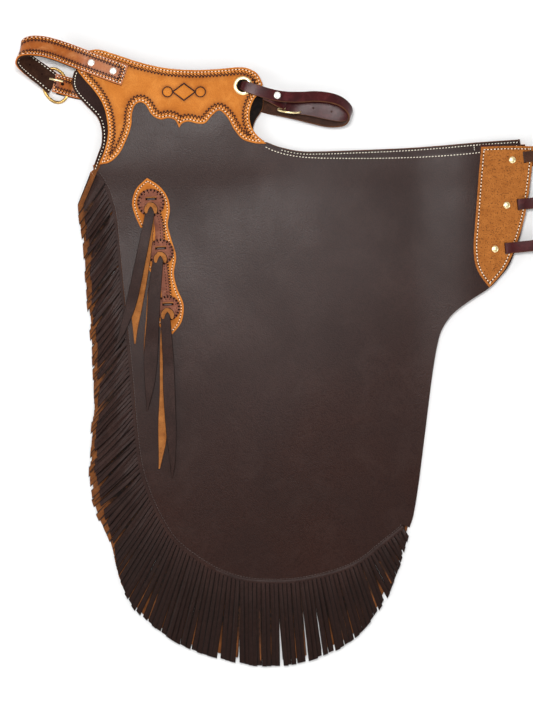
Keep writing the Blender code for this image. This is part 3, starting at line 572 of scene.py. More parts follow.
def cutPanel(name, level, thickness, outline, materials, nodes, holes=(), cell=16, edge=0.5, burnishAt=None):
    # A flat cut of leather laid on a level: grain or flesh on top, raw edge round it
    bm = bmesh.new()
    bm.from_mesh(fillOutline(outline, holes))
    bmesh.ops.remove_doubles(bm, verts=bm.verts, dist=0.01)
    bmesh.ops.dissolve_limit(bm, angle_limit=0.01, verts=bm.verts, edges=bm.edges)
    xs = [vert.co.x for vert in bm.verts]
    ys = [vert.co.y for vert in bm.verts]
    for low, high, across in ((min(xs), max(xs), Vector((1, 0, 0))), (min(ys), max(ys), Vector((0, 1, 0)))):
        cuts = int((high - low) / cell)
        for k in range(1, cuts):
            everything = bm.verts[:] + bm.edges[:] + bm.faces[:]
            place = across * (low + (high - low) * k / cuts)
            bmesh.ops.bisect_plane(bm, geom=everything, dist=0.001, plane_co=place, plane_no=across)
    raised = bmesh.ops.extrude_face_region(bm, geom=bm.faces[:], use_keep_orig=True)["geom"]
    top = {element for element in raised if isinstance(element, bmesh.types.BMVert)}
    for vert in bm.verts:
        vert.co.z = liftHeight(level, vert.co.x, vert.co.y) + (thickness if vert in top else 0)
    bmesh.ops.recalc_face_normals(bm, faces=bm.faces)
    for face in bm.faces:
        side = abs(face.normal.z) < 0.5
        face.material_index = 1 if side else (0 if face.normal.z > 0 else 2)
    rim = [
        line for line in bm.edges
        if len(line.link_faces) == 2 and {f.material_index for f in line.link_faces} in ({0, 1}, {1, 2})
    ]
    bmesh.ops.bevel(bm, geom=rim, offset=edge, segments=2, affect="EDGES", clamp_overlap=True, material=1)
    mesh = meshFromBmesh(name, bm)
    if burnishAt:
        pressBurnishAndShade(mesh, burnishAt)
    return placePiece(name, mesh, materials, nodes)


def bandFrames(path, step):
    # Stations x, y, z, heading of the width, dip of its +Y end, width
    stations = smoothLine(path, step)
    frames = []
    travelled = 0.0
    for i, (x, y, z, heading, dip, width) in enumerate(stations):
        place = Vector((x, y, z))
        ahead = Vector(stations[min(i + 1, len(stations) - 1)][:3])
        behind = Vector(stations[max(i - 1, 0)][:3])
        tangent = (ahead - behind).normalized()
        flat = Vector((math.cos(math.radians(heading)), math.sin(math.radians(heading)), 0))
        side = flat * math.cos(math.radians(dip)) - Vector((0, 0, math.sin(math.radians(dip))))
        side = (side - tangent * side.dot(tangent)).normalized()
        if frames:
            travelled += (place - frames[-1][0]).length
        frames.append((place, side, tangent.cross(side), width, travelled))
    return frames


def bandMapper(frames, surface):
    # Places a point s along a band and t across it, h over its surface
    def mapPoint(s, t, h):
        i = 1
        while i < len(frames) - 1 and frames[i][4] < s:
            i += 1
        (placeA, sideA, normalA, _, startA), (placeB, sideB, normalB, _, startB) = frames[i - 1], frames[i]
        part = (s - startA) / (startB - startA)
        normal = normalA.lerp(normalB, part)
        return placeA.lerp(placeB, part) + sideA.lerp(sideB, part) * t + normal * (surface + math.copysign(h, surface))
    return mapPoint


def levelMapper(level):
    def mapPoint(x, y, h):
        return Vector((x, y, liftHeight(level, x, y) + h))
    return mapPoint


def topArea(piece):
    # The cut's area is that of its grain side
    return sum(face.area for face in piece.data.polygons if face.material_index == 0)


def joinRings(bm, rings, kinds, closed=False):
    # Faces between the rings, with a material number for each side of them; open ends get a cap
    pairs = list(zip(rings, rings[1:])) + ([(rings[-1], rings[0])] if closed else [])
    for ring, following in pairs:
        for k, kind in enumerate(kinds):
            beyond = (k + 1) % len(kinds)
            face = bm.faces.new((ring[k], ring[beyond], following[beyond], following[k]))
            face.material_index = kind
    if not closed:
        for ring in (rings[0], rings[-1]):
            bm.faces.new(ring).material_index = min(1, max(kinds))


def sweepBand(bm, frames, thickness, offset=0.0, rounding=0.6, crown=0.0, shift=0.0, burnishAt=None):
    # Material 0 on the top, 1 on the edges, 2 underneath
    rings = []
    burnishAndShadeValues = bm.verts.layers.float.new("burnish") if burnishAt else None
    shares = (0.78, 0.6, 0.42, 0.2, -0.2, -0.42, -0.6, -0.78)
    for place, side, normal, width, travelled in frames:
        w = width / 2
        r = min(rounding, w * 0.6)
        low, high = offset - thickness / 2, offset + thickness / 2
        profile = [(-w, low + r), (-w + r, low)] + [(-w * share, low) for share in shares]
        profile += [(w - r, low), (w, low + r), (w, high - r), (w - r, high)]
        profile += [(w * share, high + crown * (1 - share ** 2)) for share in shares] + [(-w + r, high), (-w, high - r)]
        ring = [bm.verts.new(place + side * (t + shift) + normal * h) for t, h in profile]
        if burnishAt:
            for vert, (t, _) in zip(ring, profile):
                vert[burnishAndShadeValues] = burnishAt(travelled, t, frames[-1][4])
        rings.append(ring)
    joinRings(bm, rings, (1, *(2,) * 9, 1, 1, 1, *(0,) * 9, 1, 1))


def makeBand(name, path, thickness, materials, slotName, nodes, offset=0.0, step=3.0, **details):
    bm = bmesh.new()
    frames = bandFrames(path, step)
    sweepBand(bm, frames, thickness, offset, **details)
    return placePiece(name, meshFromBmesh(name, bm), materials, nodes), frames


# Small marks: stitches, awl holes and tool stamps, gathered in one mesh for each piece they lie on

def ringShape(stations, sides, squash=1.0, sunk=0.0):
    # A closed round-ended body along u: stations are (u, radius)
    points, faces = [], []
    for u, radius in stations:
        for k in range(sides):
            a = 2 * math.pi * k / sides
            points.append((u, radius * math.cos(a), radius * math.sin(a) * squash + sunk))
    for i in range(len(stations) - 1):
        for k in range(sides):
            beyond = (k + 1) % sides
            faces.append((i * sides + k, i * sides + beyond, (i + 1) * sides + beyond, (i + 1) * sides + k))
    faces.append(tuple(range(sides)))
    last = (len(stations) - 1) * sides
    faces.append(tuple(last + k for k in reversed(range(sides))))
    return points, faces


def plateShape(corners, height):
    # A thin plate whose edge slopes down into the leather
    middle = Vector((sum(u for u, _ in corners), sum(v for _, v in corners))) / len(corners)
    count = len(corners)
    points = [(u, v, -0.05) for u, v in corners]
    for u, v in corners:
        inner = Vector((u, v)).lerp(middle, 0.12)
        points.append((inner.x, inner.y, height))
    faces = [tuple(range(count, 2 * count))]
    for k in range(count):
        beyond = (k + 1) % count
        faces.append((k, beyond, count + beyond, count + k))
    return points, faces


def stackShape(corners, steps, height):
    # A raised figure: its outline shrinks by steps of scale and height
    count = len(corners)
    points = [(u * scale, v * scale, high * height) for scale, high in steps for u, v in corners]
    faces = []
    for i in range(0, (len(steps) - 1) * count, count):
        for k in range(count):
            beyond = (k + 1) % count
            faces.append((i + k, i + beyond, i + count + beyond, i + count + k))
    faces.append(tuple(range((len(steps) - 1) * count, len(steps) * count)))
    return points, faces


# A punched hole is a flat dark plate: its dark is painted shade for the opening
def punchedHole(long, wide):
    return plateShape([(long * math.cos(a / 2), wide * math.sin(a / 2)) for a in range(12)], 0.05)


stitchShape = ringShape(
    ((-1.25, 0.25), (-0.95, 0.52), (-0.4, 0.66), (0.4, 0.66), (0.95, 0.52), (1.25, 0.25)), 6, 0.75, 0.14,
)
smallStitch = ringShape(((-1.6, 0.15), (-0.9, 0.4), (0.9, 0.4), (1.6, 0.15)), 5, 0.7, 0.08)
holeShape = plateShape([(1.3 * math.cos(a), 1.15 * math.sin(a)) for a in (0, 1.05, 2.1, 3.14, 4.19, 5.24)], 0.1)
beadShape = plateShape(
    [(1.35 * math.cos(a), 1.25 * math.sin(a)) for a in (0, 0.78, 1.57, 2.36, 3.14, 3.93, 4.71, 5.5)], 0.35,
)
chevron = plateShape(
    [(-2.6, -1.3), (-2.1, -2.4), (0, 0.1), (2.1, -2.4), (2.6, -1.3), (0.9, 1.9), (0, 2.5), (-0.9, 1.9)], 0.14,
)
notchShape = plateShape([(-1.1, -0.85), (1.1, -0.7), (1.3, 0), (1.1, 0.7), (-1.1, 0.85)], 0.14)


class Marks:
    def __init__(self, name, mapPoint, materials):
        self.name = name
        self.mapPoint = mapPoint
        self.materials = materials
        self.points, self.faces, self.kinds = [], [], []
        self.edge = None

    def guard(self, outline):
        # Nothing is laid outside this outline, or nearer to it than its row should be
        self.outline = outline
        self.edge = KDTree(len(outline))
        for i, point in enumerate(outline):
            self.edge.insert((point[0], point[1], 0), i)
        self.edge.balance()

    def clear(self, place, inset):
        if self.edge is None:
            return True
        inside = False
        for (x1, y1), (x2, y2) in zip(self.outline, self.outline[1:] + self.outline[:1]):
            if (y1 > place[1]) != (y2 > place[1]) and place[0] < x1 + (x2 - x1) * (place[1] - y1) / (y2 - y1):
                inside = not inside
        return inside and self.edge.find((place[0], place[1], 0))[2] > inset * 0.9 - 0.1

    def lay(self, shape, place, heading, kind=0, across=0.0, scale=1.0, slant=0.0):
        along = Vector(heading).normalized()
        if slant:
            along = Matrix.Rotation(slant, 2) @ along
        left = Vector((-along.y, along.x))
        middle = Vector(place) + Vector((-heading[1], heading[0])) * across
        start = len(self.points)
        for u, v, h in shape[0]:
            spot = middle + along * u * scale + left * v * scale
            self.points.append(self.mapPoint(spot.x, spot.y, h))
        for face in shape[1]:
            self.faces.append(tuple(start + k for k in face))
            self.kinds.append(kind)

    def sew(self, line, across, kind=0, pitch=None, holes=None, shape=None, start=2.5, stop=2.5, inset=0.0, size=1.0):
        # Stitches along a line, with the awl holes between them
        pitch = pitch or garment["stitchPitch"]
        places = walkLine(line, pitch / 2, start, stop)
        for k, (place, heading) in enumerate(places):
            if not self.clear(place, inset):
                continue
            if k % 2 == 0:
                turned = 0.12 + chance.uniform(-0.06, 0.06)
                self.lay(shape or stitchShape, place, heading, kind, across, size * chance.uniform(0.93, 1.05), turned)
            elif holes is not None:
                self.lay(holeShape, place, heading, holes, across, size)

    def finish(self, slotName):
        mesh = bpy.data.meshes.new(self.name)
        mesh.from_pydata([tuple(point) for point in self.points], [], self.faces)
        mesh.polygons.foreach_set("material_index", self.kinds)
        return placePiece(self.name, mesh, self.materials, sharpAngle=50)


toolFinishes = ("creamThread", "awlHole", "stamped", "bead")


def toolBorder(marks, line, inwards, border, start=2.5, stop=2.5):
    # White stitches, a row of raised beads whose paler tan is a painted highlight, and a zigzag of dark stamps further
    # in
    stitchKind, holeKind, stampKind, beadKind = range(len(toolFinishes))
    inset = border["stitches"]
    row = insetLine(line, inwards * inset)
    marks.sew(row, 0, stitchKind, holes=holeKind, start=start, stop=stop, inset=inset, size=border["stitchScale"])
    beads = walkLine(insetLine(line, inwards * border["beads"]), 2.35 * border["stampScale"], start, stop)
    for k, (place, heading) in enumerate(beads):
        if marks.clear(place, border["beads"]):
            size = border["stampScale"] * chance.uniform(0.75, 0.95)
            marks.lay(holeShape if k % 2 else beadShape, place, heading, holeKind if k % 2 else beadKind, 0, size)
    zigzag = insetLine(line, inwards * border["zigzag"])
    for place, heading in walkLine(zigzag, 4.7 * border["stampScale"], start, stop):
        if marks.clear(place, border["zigzag"]):
            spot = heading if inwards > 0 else -heading
            size = border["stampScale"] * chance.uniform(0.94, 1.04)
            marks.lay(chevron, place, spot, stampKind, 0, size, chance.uniform(-0.07, 0.07))


# The two legs

legs = {"wall": 2.0, "setback": 1.2, "fringeSeam": 1.2}
yokeRuns = {
    "left": ((-321, 274), (-313, 294), (-308, 316), (-309, 338), (-315, 361), (-328, 382), (-343, 399), (-353, 412)),
    "top": (
        (-353, 412), (-353, 424), (-345, 436), (-324, 442), (-298, 435), (-261, 423), (-225, 415),
        (-188, 412), (-152, 413), (-115, 416), (-98, 412), (-88, 404), (-82, 391),
    ),
    "right": ((-82, 391), (-89, 377), (-96, 367), (-101, 351), (-100, 334), (-92, 319), (-77, 305)),
    "scallopsRight": (
        (-77, 305), (-95, 306), (-112, 312), (-124, 326), (-133, 342), (-145, 353), (-155, 347),
        (-166, 335), (-177, 334), (-191, 337), (-200, 334), (-204, 328),
    ),
    "scallopsLeft": (
        (-204, 328), (-210, 339), (-220, 342), (-232, 340), (-244, 347), (-253, 361), (-261, 365),
        (-269, 360), (-273, 347), (-274, 332), (-280, 313), (-291, 291), (-305, 278), (-321, 274),
    ),
}
legRuns = {
    "top": (
        (-77, 305), (-64, 299), (-42, 293), (-12, 289.5), (45, 288.5), (104, 289), (162, 291),
        (209, 294), (250, 298), (312, 301),
    ),
    "right": (
        (312, 301), (311, 274), (307, 233), (302, 201), (294, 167), (280, 129), (266, 110), (249, 93),
        (220, 74), (196, 55), (181, 33), (174, 9), (168, -26), (162, -72), (155, -131), (147, -193),
        (140, -236), (134, -256),
    ),
    "lowerLeft": (
        (-332, 268), (-325, 288), (-319.5, 303), (-318.3, 318), (-320, 331), (-325, 343), (-336, 355),
        (-351, 371), (-359, 382), (-362, 392), (-361, 404), (-358, 412),
    ),
    "lowerWaist": (
        (-358, 412), (-352, 424), (-340, 433), (-300, 430), (-261, 418), (-225, 410), (-152, 408),
        (-115, 411), (-96, 406), (-84, 390),
    ),
    "lowerRight": ((-84, 390), (-80, 369), (-82, 354), (-91, 340), (-95, 328), (-92, 320), (-79, 310)),
    "lowerTop": (
        (-79, 310), (-57, 302), (-28, 296), (2, 295.6), (45, 297), (118, 300), (177, 304), (235, 309), (294, 313),
    ),
}
# Root and tip of the fringe along its seam, and how much further the lower leg's strands reach
fringeRows = (
    (-324, 264, -344, 217, 0), (-312, 246, -343, 203, 0), (-304, 226, -339, 176, 1), (-298, 201, -336, 147, 2),
    (-293, 155, -333, 101, 3), (-285, 72, -325, 18, 4), (-276, -14, -322, -69, 5), (-267, -116, -326, -174, 11),
    (-260, -166, -318, -221, 12), (-248, -205, -301, -275, 8), (-232, -240, -290, -332, 3), (-209, -275, -257, -388, 0),
    (-172, -304, -203, -427, -3), (-136, -323, -150, -447, -4), (-101, -332, -102, -457, -4), (-61, -334, -55, -458, -4),
    (-25, -331, -12, -450, -4), (23, -320, 48, -421, -4), (60, -304, 88, -377, -4), (93, -278, 115, -318, -4),
    (123, -254, 130, -269, -4),
)
strapSlots = ((300, 285, -6), (291, 216, 0), (273, 152, 0))
strapHeading = math.radians(6)


def seamRows(lower):
    rows = []
    for rootX, rootY, tipX, tipY, reach in fringeRows:
        root, tip = (rootX, rootY), Vector((tipX, tipY))
        if lower:
            outwards = (tip - Vector(root)).normalized()
            root, tip = asLower((root, tip + outwards * reach))
        rows.append((*root, *tip))
    return smoothLine(rows, 3.0)


def slotOutline(x, y):
    along = Vector((math.cos(strapHeading), math.sin(strapHeading)))
    across = Vector((-along.y, along.x)) * 8.6
    along = along * 1.8
    corners = (along + across, across - along, -along - across, along - across)
    return [(x + corner.x, y + corner.y) for corner in corners]


def makeLegs():
    slots = [slotOutline(x, y) for x, y, _ in strapSlots]
    setback = -legs["setback"]
    edges = [yokeRuns["left"], yokeRuns["top"], yokeRuns["right"], legRuns["top"], legRuns["right"]]
    waist = [offsetLine(smoothLine(run, 3.5), setback) for run in edges]
    seam = [tuple(row[:2]) for row in seamRows(False)]
    outline = joinRuns(*waist, offsetLine(list(reversed(seam)), -legs["fringeSeam"]))
    upper = cutPanel(
        "legUpper", upperLevel, legs["wall"], outline, ("darkGrain", "darkEdge", "suedeRust"),
        ("leg_upper",), [circlePoints((-111, 389), 10.8), *slots],
    )
    edges = [legRuns["lowerLeft"], legRuns["lowerWaist"], legRuns["lowerRight"], legRuns["lowerTop"]]
    edges.append([legRuns["lowerTop"][-1], *asLower(legRuns["right"][1:])])
    waist = [offsetLine(smoothLine(run, 3.5), setback) for run in edges]
    seam = [tuple(row[:2]) for row in seamRows(True)]
    outline = joinRuns(*waist, offsetLine(list(reversed(seam)), -legs["fringeSeam"]))
    lower = cutPanel(
        "legLower", lowerLevel, legs["wall"], outline, ("suedeRust", "rawEdge", "darkGrain"),
        ("leg_lower",),
    )
    # Cream stitches run along the top edge, dark ones in a row beside the fringe
    marks = Marks("legStitches", levelMapper(above(upperLevel, legs["wall"])), ("creamThread", "darkThread", "awlHole"))
    marks.sew(smoothLine(legRuns["top"], 3.5), -4.6, 0, pitch=4.5, holes=2, stop=72, size=1.02)
    seam = list(reversed([tuple(row[:2]) for row in seamRows(False)]))
    marks.sew(offsetLine(seam, -1.1 - legs["fringeSeam"]), 0, 1, pitch=4.2, shape=smallStitch, size=0.85)
    marks.finish("leather_dark")


makeLegs()
print("legs laid")

# Fringes: strands cut from one strip, each with its own lie

fringes = {
    "wall": 1.8, "upperStrands": 146, "lowerStrands": 108, "uncutShare": 0.024, "margin": 4.2,
    "upperWidth": 6.3, "lowerWidth": 10.2, "upperBunch": 0.12, "lowerBunch": 0.0,
    "partings": (
        (-268, 3.5), (-261, 3.5), (-254, 3), (-143, 7), (-118, 8), (-57, 7), (-17.5, 7), (4.4, 4.5),
        (20.4, 4), (99, 4.5),
    ),
    "partingsBelow": -200, "partingReach": 16, "looseAbove": -260, "strandParts": 12, "marginParts": 240, "flatTop": 0.75,
    "strandKinds": (1, 2, 1, 1, 1, 0, 0, 1, 1), "marginKinds": (0, 0, 0, 0, 1, 2),
}
# Each strand's sides and sloping top shoulders take the fringe's dark edge finish: painted shade for the gaps between
# the strands
strandProfile = (
    (-1, 0.3), (-0.93, 0), (0.93, 0), (1, 0.3), (1, 0.55), (fringes["flatTop"], 1), (0, 1.1),
    (-fringes["flatTop"], 1), (-1, 0.55),
)
marginProfile = (
    (-1.15, 0.2), (-1.15, 1.8), (-1.0, 1.92), (3.6, 1.92), (fringes["margin"], 1.86), (fringes["margin"], 0.2),
)


def makeFringe(name, node, level, lower, count, materials):
    rows = seamRows(lower)
    travelled = [0.0]
    for start, end in zip(rows, rows[1:]):
        travelled.append(travelled[-1] + (Vector(end[:2]) - Vector(start[:2])).length)

    def at(length):
        i = max(1, next((k for k, done in enumerate(travelled) if done >= length), len(rows) - 1))
        part = (length - travelled[i - 1]) / (travelled[i] - travelled[i - 1])
        row = rows[i - 1].lerp(rows[i], min(part, 1))
        return Vector(row[:2]), Vector(row[2:])

    luck = random.Random(5 if lower else 3)
    fullWidth = fringes["lowerWidth" if lower else "upperWidth"]
    bm = bmesh.new()
    burnishAndShadeValues = bm.verts.layers.float.new("burnish")

    def addStrand(first, last, whole, number, bunch):
        (rootA, tipA), (rootB, tipB) = at(first), at(last)
        middleRoot, middleTip = (rootA + rootB) / 2, (tipA + tipB) / 2
        direction = (middleTip - middleRoot).normalized()
        across = Vector((-direction.y, direction.x))
        length = (middleTip - middleRoot).length
        bunch *= (tipB - tipA).dot(across)
        parting = 0.0
        if middleTip.y < fringes["partingsBelow"]:
            for place, width in fringes["partings"]:
                apart = middleTip.x - place
                parting += math.copysign(width / 2 * math.exp(-abs(apart) / fringes["partingReach"]), apart)
        loose = 0 if whole else (1.0 if middleTip.y > fringes["looseAbove"] else 0.3)
        swing, bow = luck.gauss(0, 1.2 if lower else 1.9) * loose, luck.gauss(0, 1.3) * loose
        roll = 0 if whole else luck.uniform(-0.1, 0.4) * (0.5 + loose * 0.6)
        tall = 0
        if not whole:
            tall = (0.0, 1.1, 0.5)[number % 3] * (0.7 + loose * (0.3 if lower else 0.7)) + luck.uniform(0, 0.4)
        extra = 0 if whole else luck.uniform(-1.5, 1.5) * (0.4 + loose * (1.6 if lower else 0.6))
        stretch = 1 + (luck.uniform(-0.05, 0.3) if loose > 0.5 and not lower else 0)
        begin = 0.0 if whole else (fringes["margin"] - 0.5) / length
        rings = []
        parts = fringes["strandParts"]
        for part in range(parts + 1):
            t = begin + (1 - begin) * part / parts
            edgeA, edgeB = rootA.lerp(tipA, t), rootB.lerp(tipB, t)
            half = (edgeB - edgeA) / 2
            wide = max(abs(half.dot(across)) * 2, 0.5)
            settled = min((t - begin) * 2.5, 1)
            wanted = max(wide * 0.975, wide + (fullWidth * stretch - wide) * settled)
            half *= 1.0 if whole else min(wanted, wide * (2.2 if lower else 1.7)) / wide
            middle = (edgeA + edgeB) / 2 + direction * extra * t
            middle += across * (swing * t ** 1.6 + bow * math.sin(t * math.pi))
            middle += across * bunch * t ** 0.8
            middle.x += parting * t ** 1.5
            ground = liftHeight(level, middle.x, middle.y)
            z = ground + tall * settled - (0.0 if whole else 0.02)
            lean = half.dot(across) * math.sin(roll) * settled
            ring = []
            # Painted shade: the lower strands' flesh is painted dark where it lies under the upper leg, and the upper
            # strands are painted darker towards the bottom
            shade = max(0.0, min(0.75, (-170 - middle.y) / 190)) * min(1, t * 3)
            if lower:
                shade = 0.0 if whole else max(0.0, min(1.0, (0.84 - t) / 0.2))
            for u, h in strandProfile:
                spot = middle + half * u
                ring.append(bm.verts.new((spot.x, spot.y, max(z + h * fringes["wall"] + u * lean + abs(lean), 0.05))))
                ring[-1][burnishAndShadeValues] = shade
            rings.append(ring)
        joinRings(bm, rings, fringes["strandKinds"])

    # Strands gather in twos to sixes, with deeper partings between the bunches
    total = travelled[-1]
    uncut = total * fringes["uncutShare"]
    pitch = (total - uncut) / count
    addStrand(0.0, uncut, True, 0, 0)
    k = 0
    while k < count:
        together = min(luck.randint(2, 6), count - k)
        for j in range(together):
            loosened = fringes["lowerBunch" if lower else "upperBunch"] * (1.0 if k < count * 0.5 else 0.4)
            addStrand(uncut + k * pitch, uncut + (k + 1) * pitch, False, k, ((together - 1) / 2 - j) * loosened)
            k += 1
    # The uncut margin along the seam, which the strands hang from
    rings = []
    for k in range(fringes["marginParts"] + 1):
        root, tip = at(total * k / fringes["marginParts"])
        out = (tip - root).normalized()
        ring = []
        for distance, height in marginProfile:
            spot = root + out * distance
            ring.append(bm.verts.new((spot.x, spot.y, liftHeight(level, spot.x, spot.y) + height)))
            # The lower leg's margin, past its uncut end, is painted dark all along: painted shade under the upper leg
            ring[-1][burnishAndShadeValues] = 1.0 if lower and k > fringes["marginParts"] * fringes["uncutShare"] else 0.0
        rings.append(ring)
    joinRings(bm, rings, fringes["marginKinds"])
    return placePiece(name, meshFromBmesh(name, bm), materials, (node,), 40)


# Both fringes put a dark edge finish on their strands' sides and shoulders: painted shade for the gaps
upperFringe = makeFringe(
    "fringeUpper", "fringe_upper", upperLevel, False, fringes["upperStrands"], ("fringeGrain", "fringeEdge", "suedeRust"),
)
lowerFringe = makeFringe(
    "fringeLower", "fringe_lower", lowerLevel, True, fringes["lowerStrands"], ("suedeRust", "darkEdge", "darkGrain"),
)

# The tooled yokes

yoke = {
    "wall": 2.6, "figure": (-197, 380), "lozenge": (15, 11), "domeRadius": 6.5, "domeOffset": 24, "figureHeight": 2.4,
    "lozengeSteps": ((1.0, 0), (0.96, 0.5), (0.84, 0.88), (0.55, 1.0)),
    "domeSteps": ((1.0, 0), (0.94, 0.45), (0.78, 0.8), (0.5, 1.05), (0.2, 1.15)),
    "border": {"stitches": 3.3, "beads": 6.3, "zigzag": 9.2, "stampScale": 1.08, "stitchScale": 0.88},
    "burnish": ((0, 0.25), (1.2, 0), (6.8, 0), (8.6, 0.6), (10.5, 0.55), (13, 0.2), (19, 0.0)),
}


def yokeBurnish(outline):
    edgeBurnish = borderBurnish(outline, yoke["burnish"])
    x0, y0 = yoke["figure"]

    def burnishAt(x, y):
        u, v = abs(x - x0), abs(y - y0)
        lozenge = (u / yoke["lozenge"][0] + v / yoke["lozenge"][1] - 1) * 8.5
        dome = math.hypot(u - yoke["domeOffset"], v) - yoke["domeRadius"]
        near = min(lozenge, dome)
        return max(edgeBurnish(x, y), 0.75 * (1 - max(near, 0) / 5)) if -1 < near < 5 else edgeBurnish(x, y)
    return burnishAt


def makeYokes():
    level = above(upperLevel, legs["wall"] + garment["gap"])
    plain = [smoothLine(yokeRuns[run], 3.0) for run in ("left", "top", "right")]
    scallops = [smoothLine(yokeRuns[run], 2.4) for run in ("scallopsRight", "scallopsLeft")]
    outline = joinRuns(*plain, *scallops)
    upper = cutPanel(
        "yokeUpper", level, yoke["wall"], outline, ("tanGrain", "tanEdge", "suedeTan"), ("yoke_upper",),
        [circlePoints((-111, 389), 10.8)], 3.4, 0.7, yokeBurnish(outline),
    )
    marks = Marks("yokeTooling", levelMapper(above(level, yoke["wall"])), toolFinishes)
    marks.guard(outline)
    for run in plain:
        toolBorder(marks, run, -1, yoke["border"])
    for run in scallops:
        toolBorder(marks, run, -1, yoke["border"], 1.5, 1.5)
    # A lozenge between two domes, each with a burnished outline
    x, y = yoke["figure"]
    halfLength, halfHeight = yoke["lozenge"]
    corners = [(halfLength, 0), (0, halfHeight), (-halfLength, 0), (0, -halfHeight)]
    marks.lay(plateShape([(u * 1.3, v * 1.32) for u, v in corners], 0.05), (x, y), (1, 0), 2)
    for side in (-1, 1):
        ring = [(8.6 * math.cos(a / 4), 8.6 * math.sin(a / 4)) for a in range(25)]
        marks.lay(plateShape(ring, 0.05), (x + side * yoke["domeOffset"], y), (1, 0), 2)
    marks.finish("leather_tan")
    figure = Marks("yokeFigure", levelMapper(above(level, yoke["wall"])), ("tanGrain", "stamped"))
    figure.lay(stackShape(corners, yoke["lozengeSteps"], yoke["figureHeight"]), (x, y), (1, 0), 0)
    dome = stackShape(circlePoints((0, 0), yoke["domeRadius"], 28), yoke["domeSteps"], yoke["figureHeight"])
    for side in (-1, 1):
        figure.lay(dome, (x + side * yoke["domeOffset"], y), (1, 0), 0)
    piece = figure.finish("leather_tan")
    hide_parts("yoke_lozenge", "yoke_dome_left", "yoke_dome_right")
    edges = [offsetLine(smoothLine(legRuns[run], 6), -6) for run in ("lowerLeft", "lowerWaist", "lowerRight")]
    scallops = [smoothLine(asLower(yokeRuns[run]), 5) for run in ("scallopsRight", "scallopsLeft")]
    lower = cutPanel(
        "yokeLower", above(lowerLevel, -garment["gap"] - yoke["wall"]), yoke["wall"], joinRuns(*edges, *scallops),
        ("suedeTan", "tanEdge", "tanGrain"), ("yoke_lower",), cell=24,
    )


makeYokes()
print("yokes tooled")

# Dark facings inside the lower leg

facings = {"wall": 1.2, "setback": 0.7, "topWidth": 19.0}


def makeFacings():
    level = above(lowerLevel, legs["wall"] + garment["gap"])
    setback = -legs["setback"] - facings["setback"]
    shown = [offsetLine(smoothLine(legRuns[run], 3.5), setback) for run in ("lowerLeft", "lowerWaist", "lowerRight")]
    hidden = ((-82, 309), (-120, 322), (-180, 330), (-250, 332), (-300, 304), (-330, 271))
    waist = cutPanel(
        "facingWaist", level, facings["wall"], joinRuns(*shown, smoothLine(hidden, 12)),
        ("facingGrain", "darkEdge", "suedeRust"), ("facing_waist_lower",),
        # The waist facing turns near-black towards its right end, under the front strap and inside the grommet: a
        # painted shadow
        burnishAt=lambda x, y: max(0.0, min(1.0, (x + 140) / 25)),
    )
    line = smoothLine(legRuns["lowerTop"], 3.5)
    top = cutPanel(
        "facingTop", level, facings["wall"],
        joinRuns(offsetLine(line, setback), list(reversed(offsetLine(line, setback - facings["topWidth"])))),
        ("darkGrain", "rawEdge", "suedeRust"), ("facing_top_lower",),
    )
    marks = Marks("facingStitches", levelMapper(above(level, facings["wall"])), ("creamThread", "awlHole"))
    marks.sew(smoothLine(legRuns["lowerLeft"], 3.5), -5.2, 0, pitch=4.6, holes=1, size=0.96)
    marks.sew(line, -5.2, 0, pitch=4.5, holes=1, start=28, size=1.02)
    corner = Vector(legRuns["lowerTop"][-1])
    end = [(corner.x - 4.6, corner.y - 5), (corner.x - 4.8, corner.y - 15)]
    marks.sew(end, 0, 0, holes=1, start=1, stop=1, size=0.86)
    marks.sew([(227, 303), (227.5, 296)], 0, 0, pitch=3.4, start=0.5, stop=0.5, size=0.9)
    marks.finish("leather_dark")


makeFacings()
print("facings sewn")

# Rough-out patches

patchRuns = {
    "left": ((249, 95), (236, 112), (228, 131), (226, 157), (228, 186), (231, 226), (234, 266), (237, 300)),
    "top": ((237, 300), (276, 301.5), (313, 301)),
    "right": ((313, 301), (311, 272), (306, 231), (301, 201), (292, 169), (281, 140), (269, 118), (249, 95)),
}
patch = {"wall": 2.0, "lowerDrop": 9.0}


def makePatches():
    level = above(upperLevel, legs["wall"] + garment["gap"])
    runs = [smoothLine(patchRuns[run], 3.0) for run in ("left", "top", "right")]
    slots = [slotOutline(x, y) for x, y, _ in strapSlots]
    upper = cutPanel(
        "patchUpper", level, patch["wall"], joinRuns(*runs), ("suedeTan", "tanEdge", "darkGrain"),
        ("patch_upper",), slots, 10, 0.5,
    )
    marks = Marks("patchStitches", levelMapper(above(level, patch["wall"])), ("creamThread", "awlHole"))
    for run in runs:
        marks.sew(run, -4.2, 0, holes=1, start=4.4, stop=4.4)
    marks.finish("suede_tan")
    drop = patch["lowerDrop"]
    top = [(x, y - drop) for x, y in patchRuns["top"]]
    left = [*patchRuns["left"][:-1], top[0]]
    right = [top[-1], *patchRuns["right"][1:]]
    outline = joinRuns(*(smoothLine(run, 6.0) for run in (left, top, right)))
    lower = cutPanel(
        "patchLower", above(lowerLevel, -garment["gap"] - patch["wall"]), patch["wall"], asLower(outline),
        ("darkGrain", "tanEdge", "suedeTan"), ("patch_lower",), cell=20,
    )


makePatches()
print("patches sewn")

# The side panel with its rosettes, and the strings laced through them

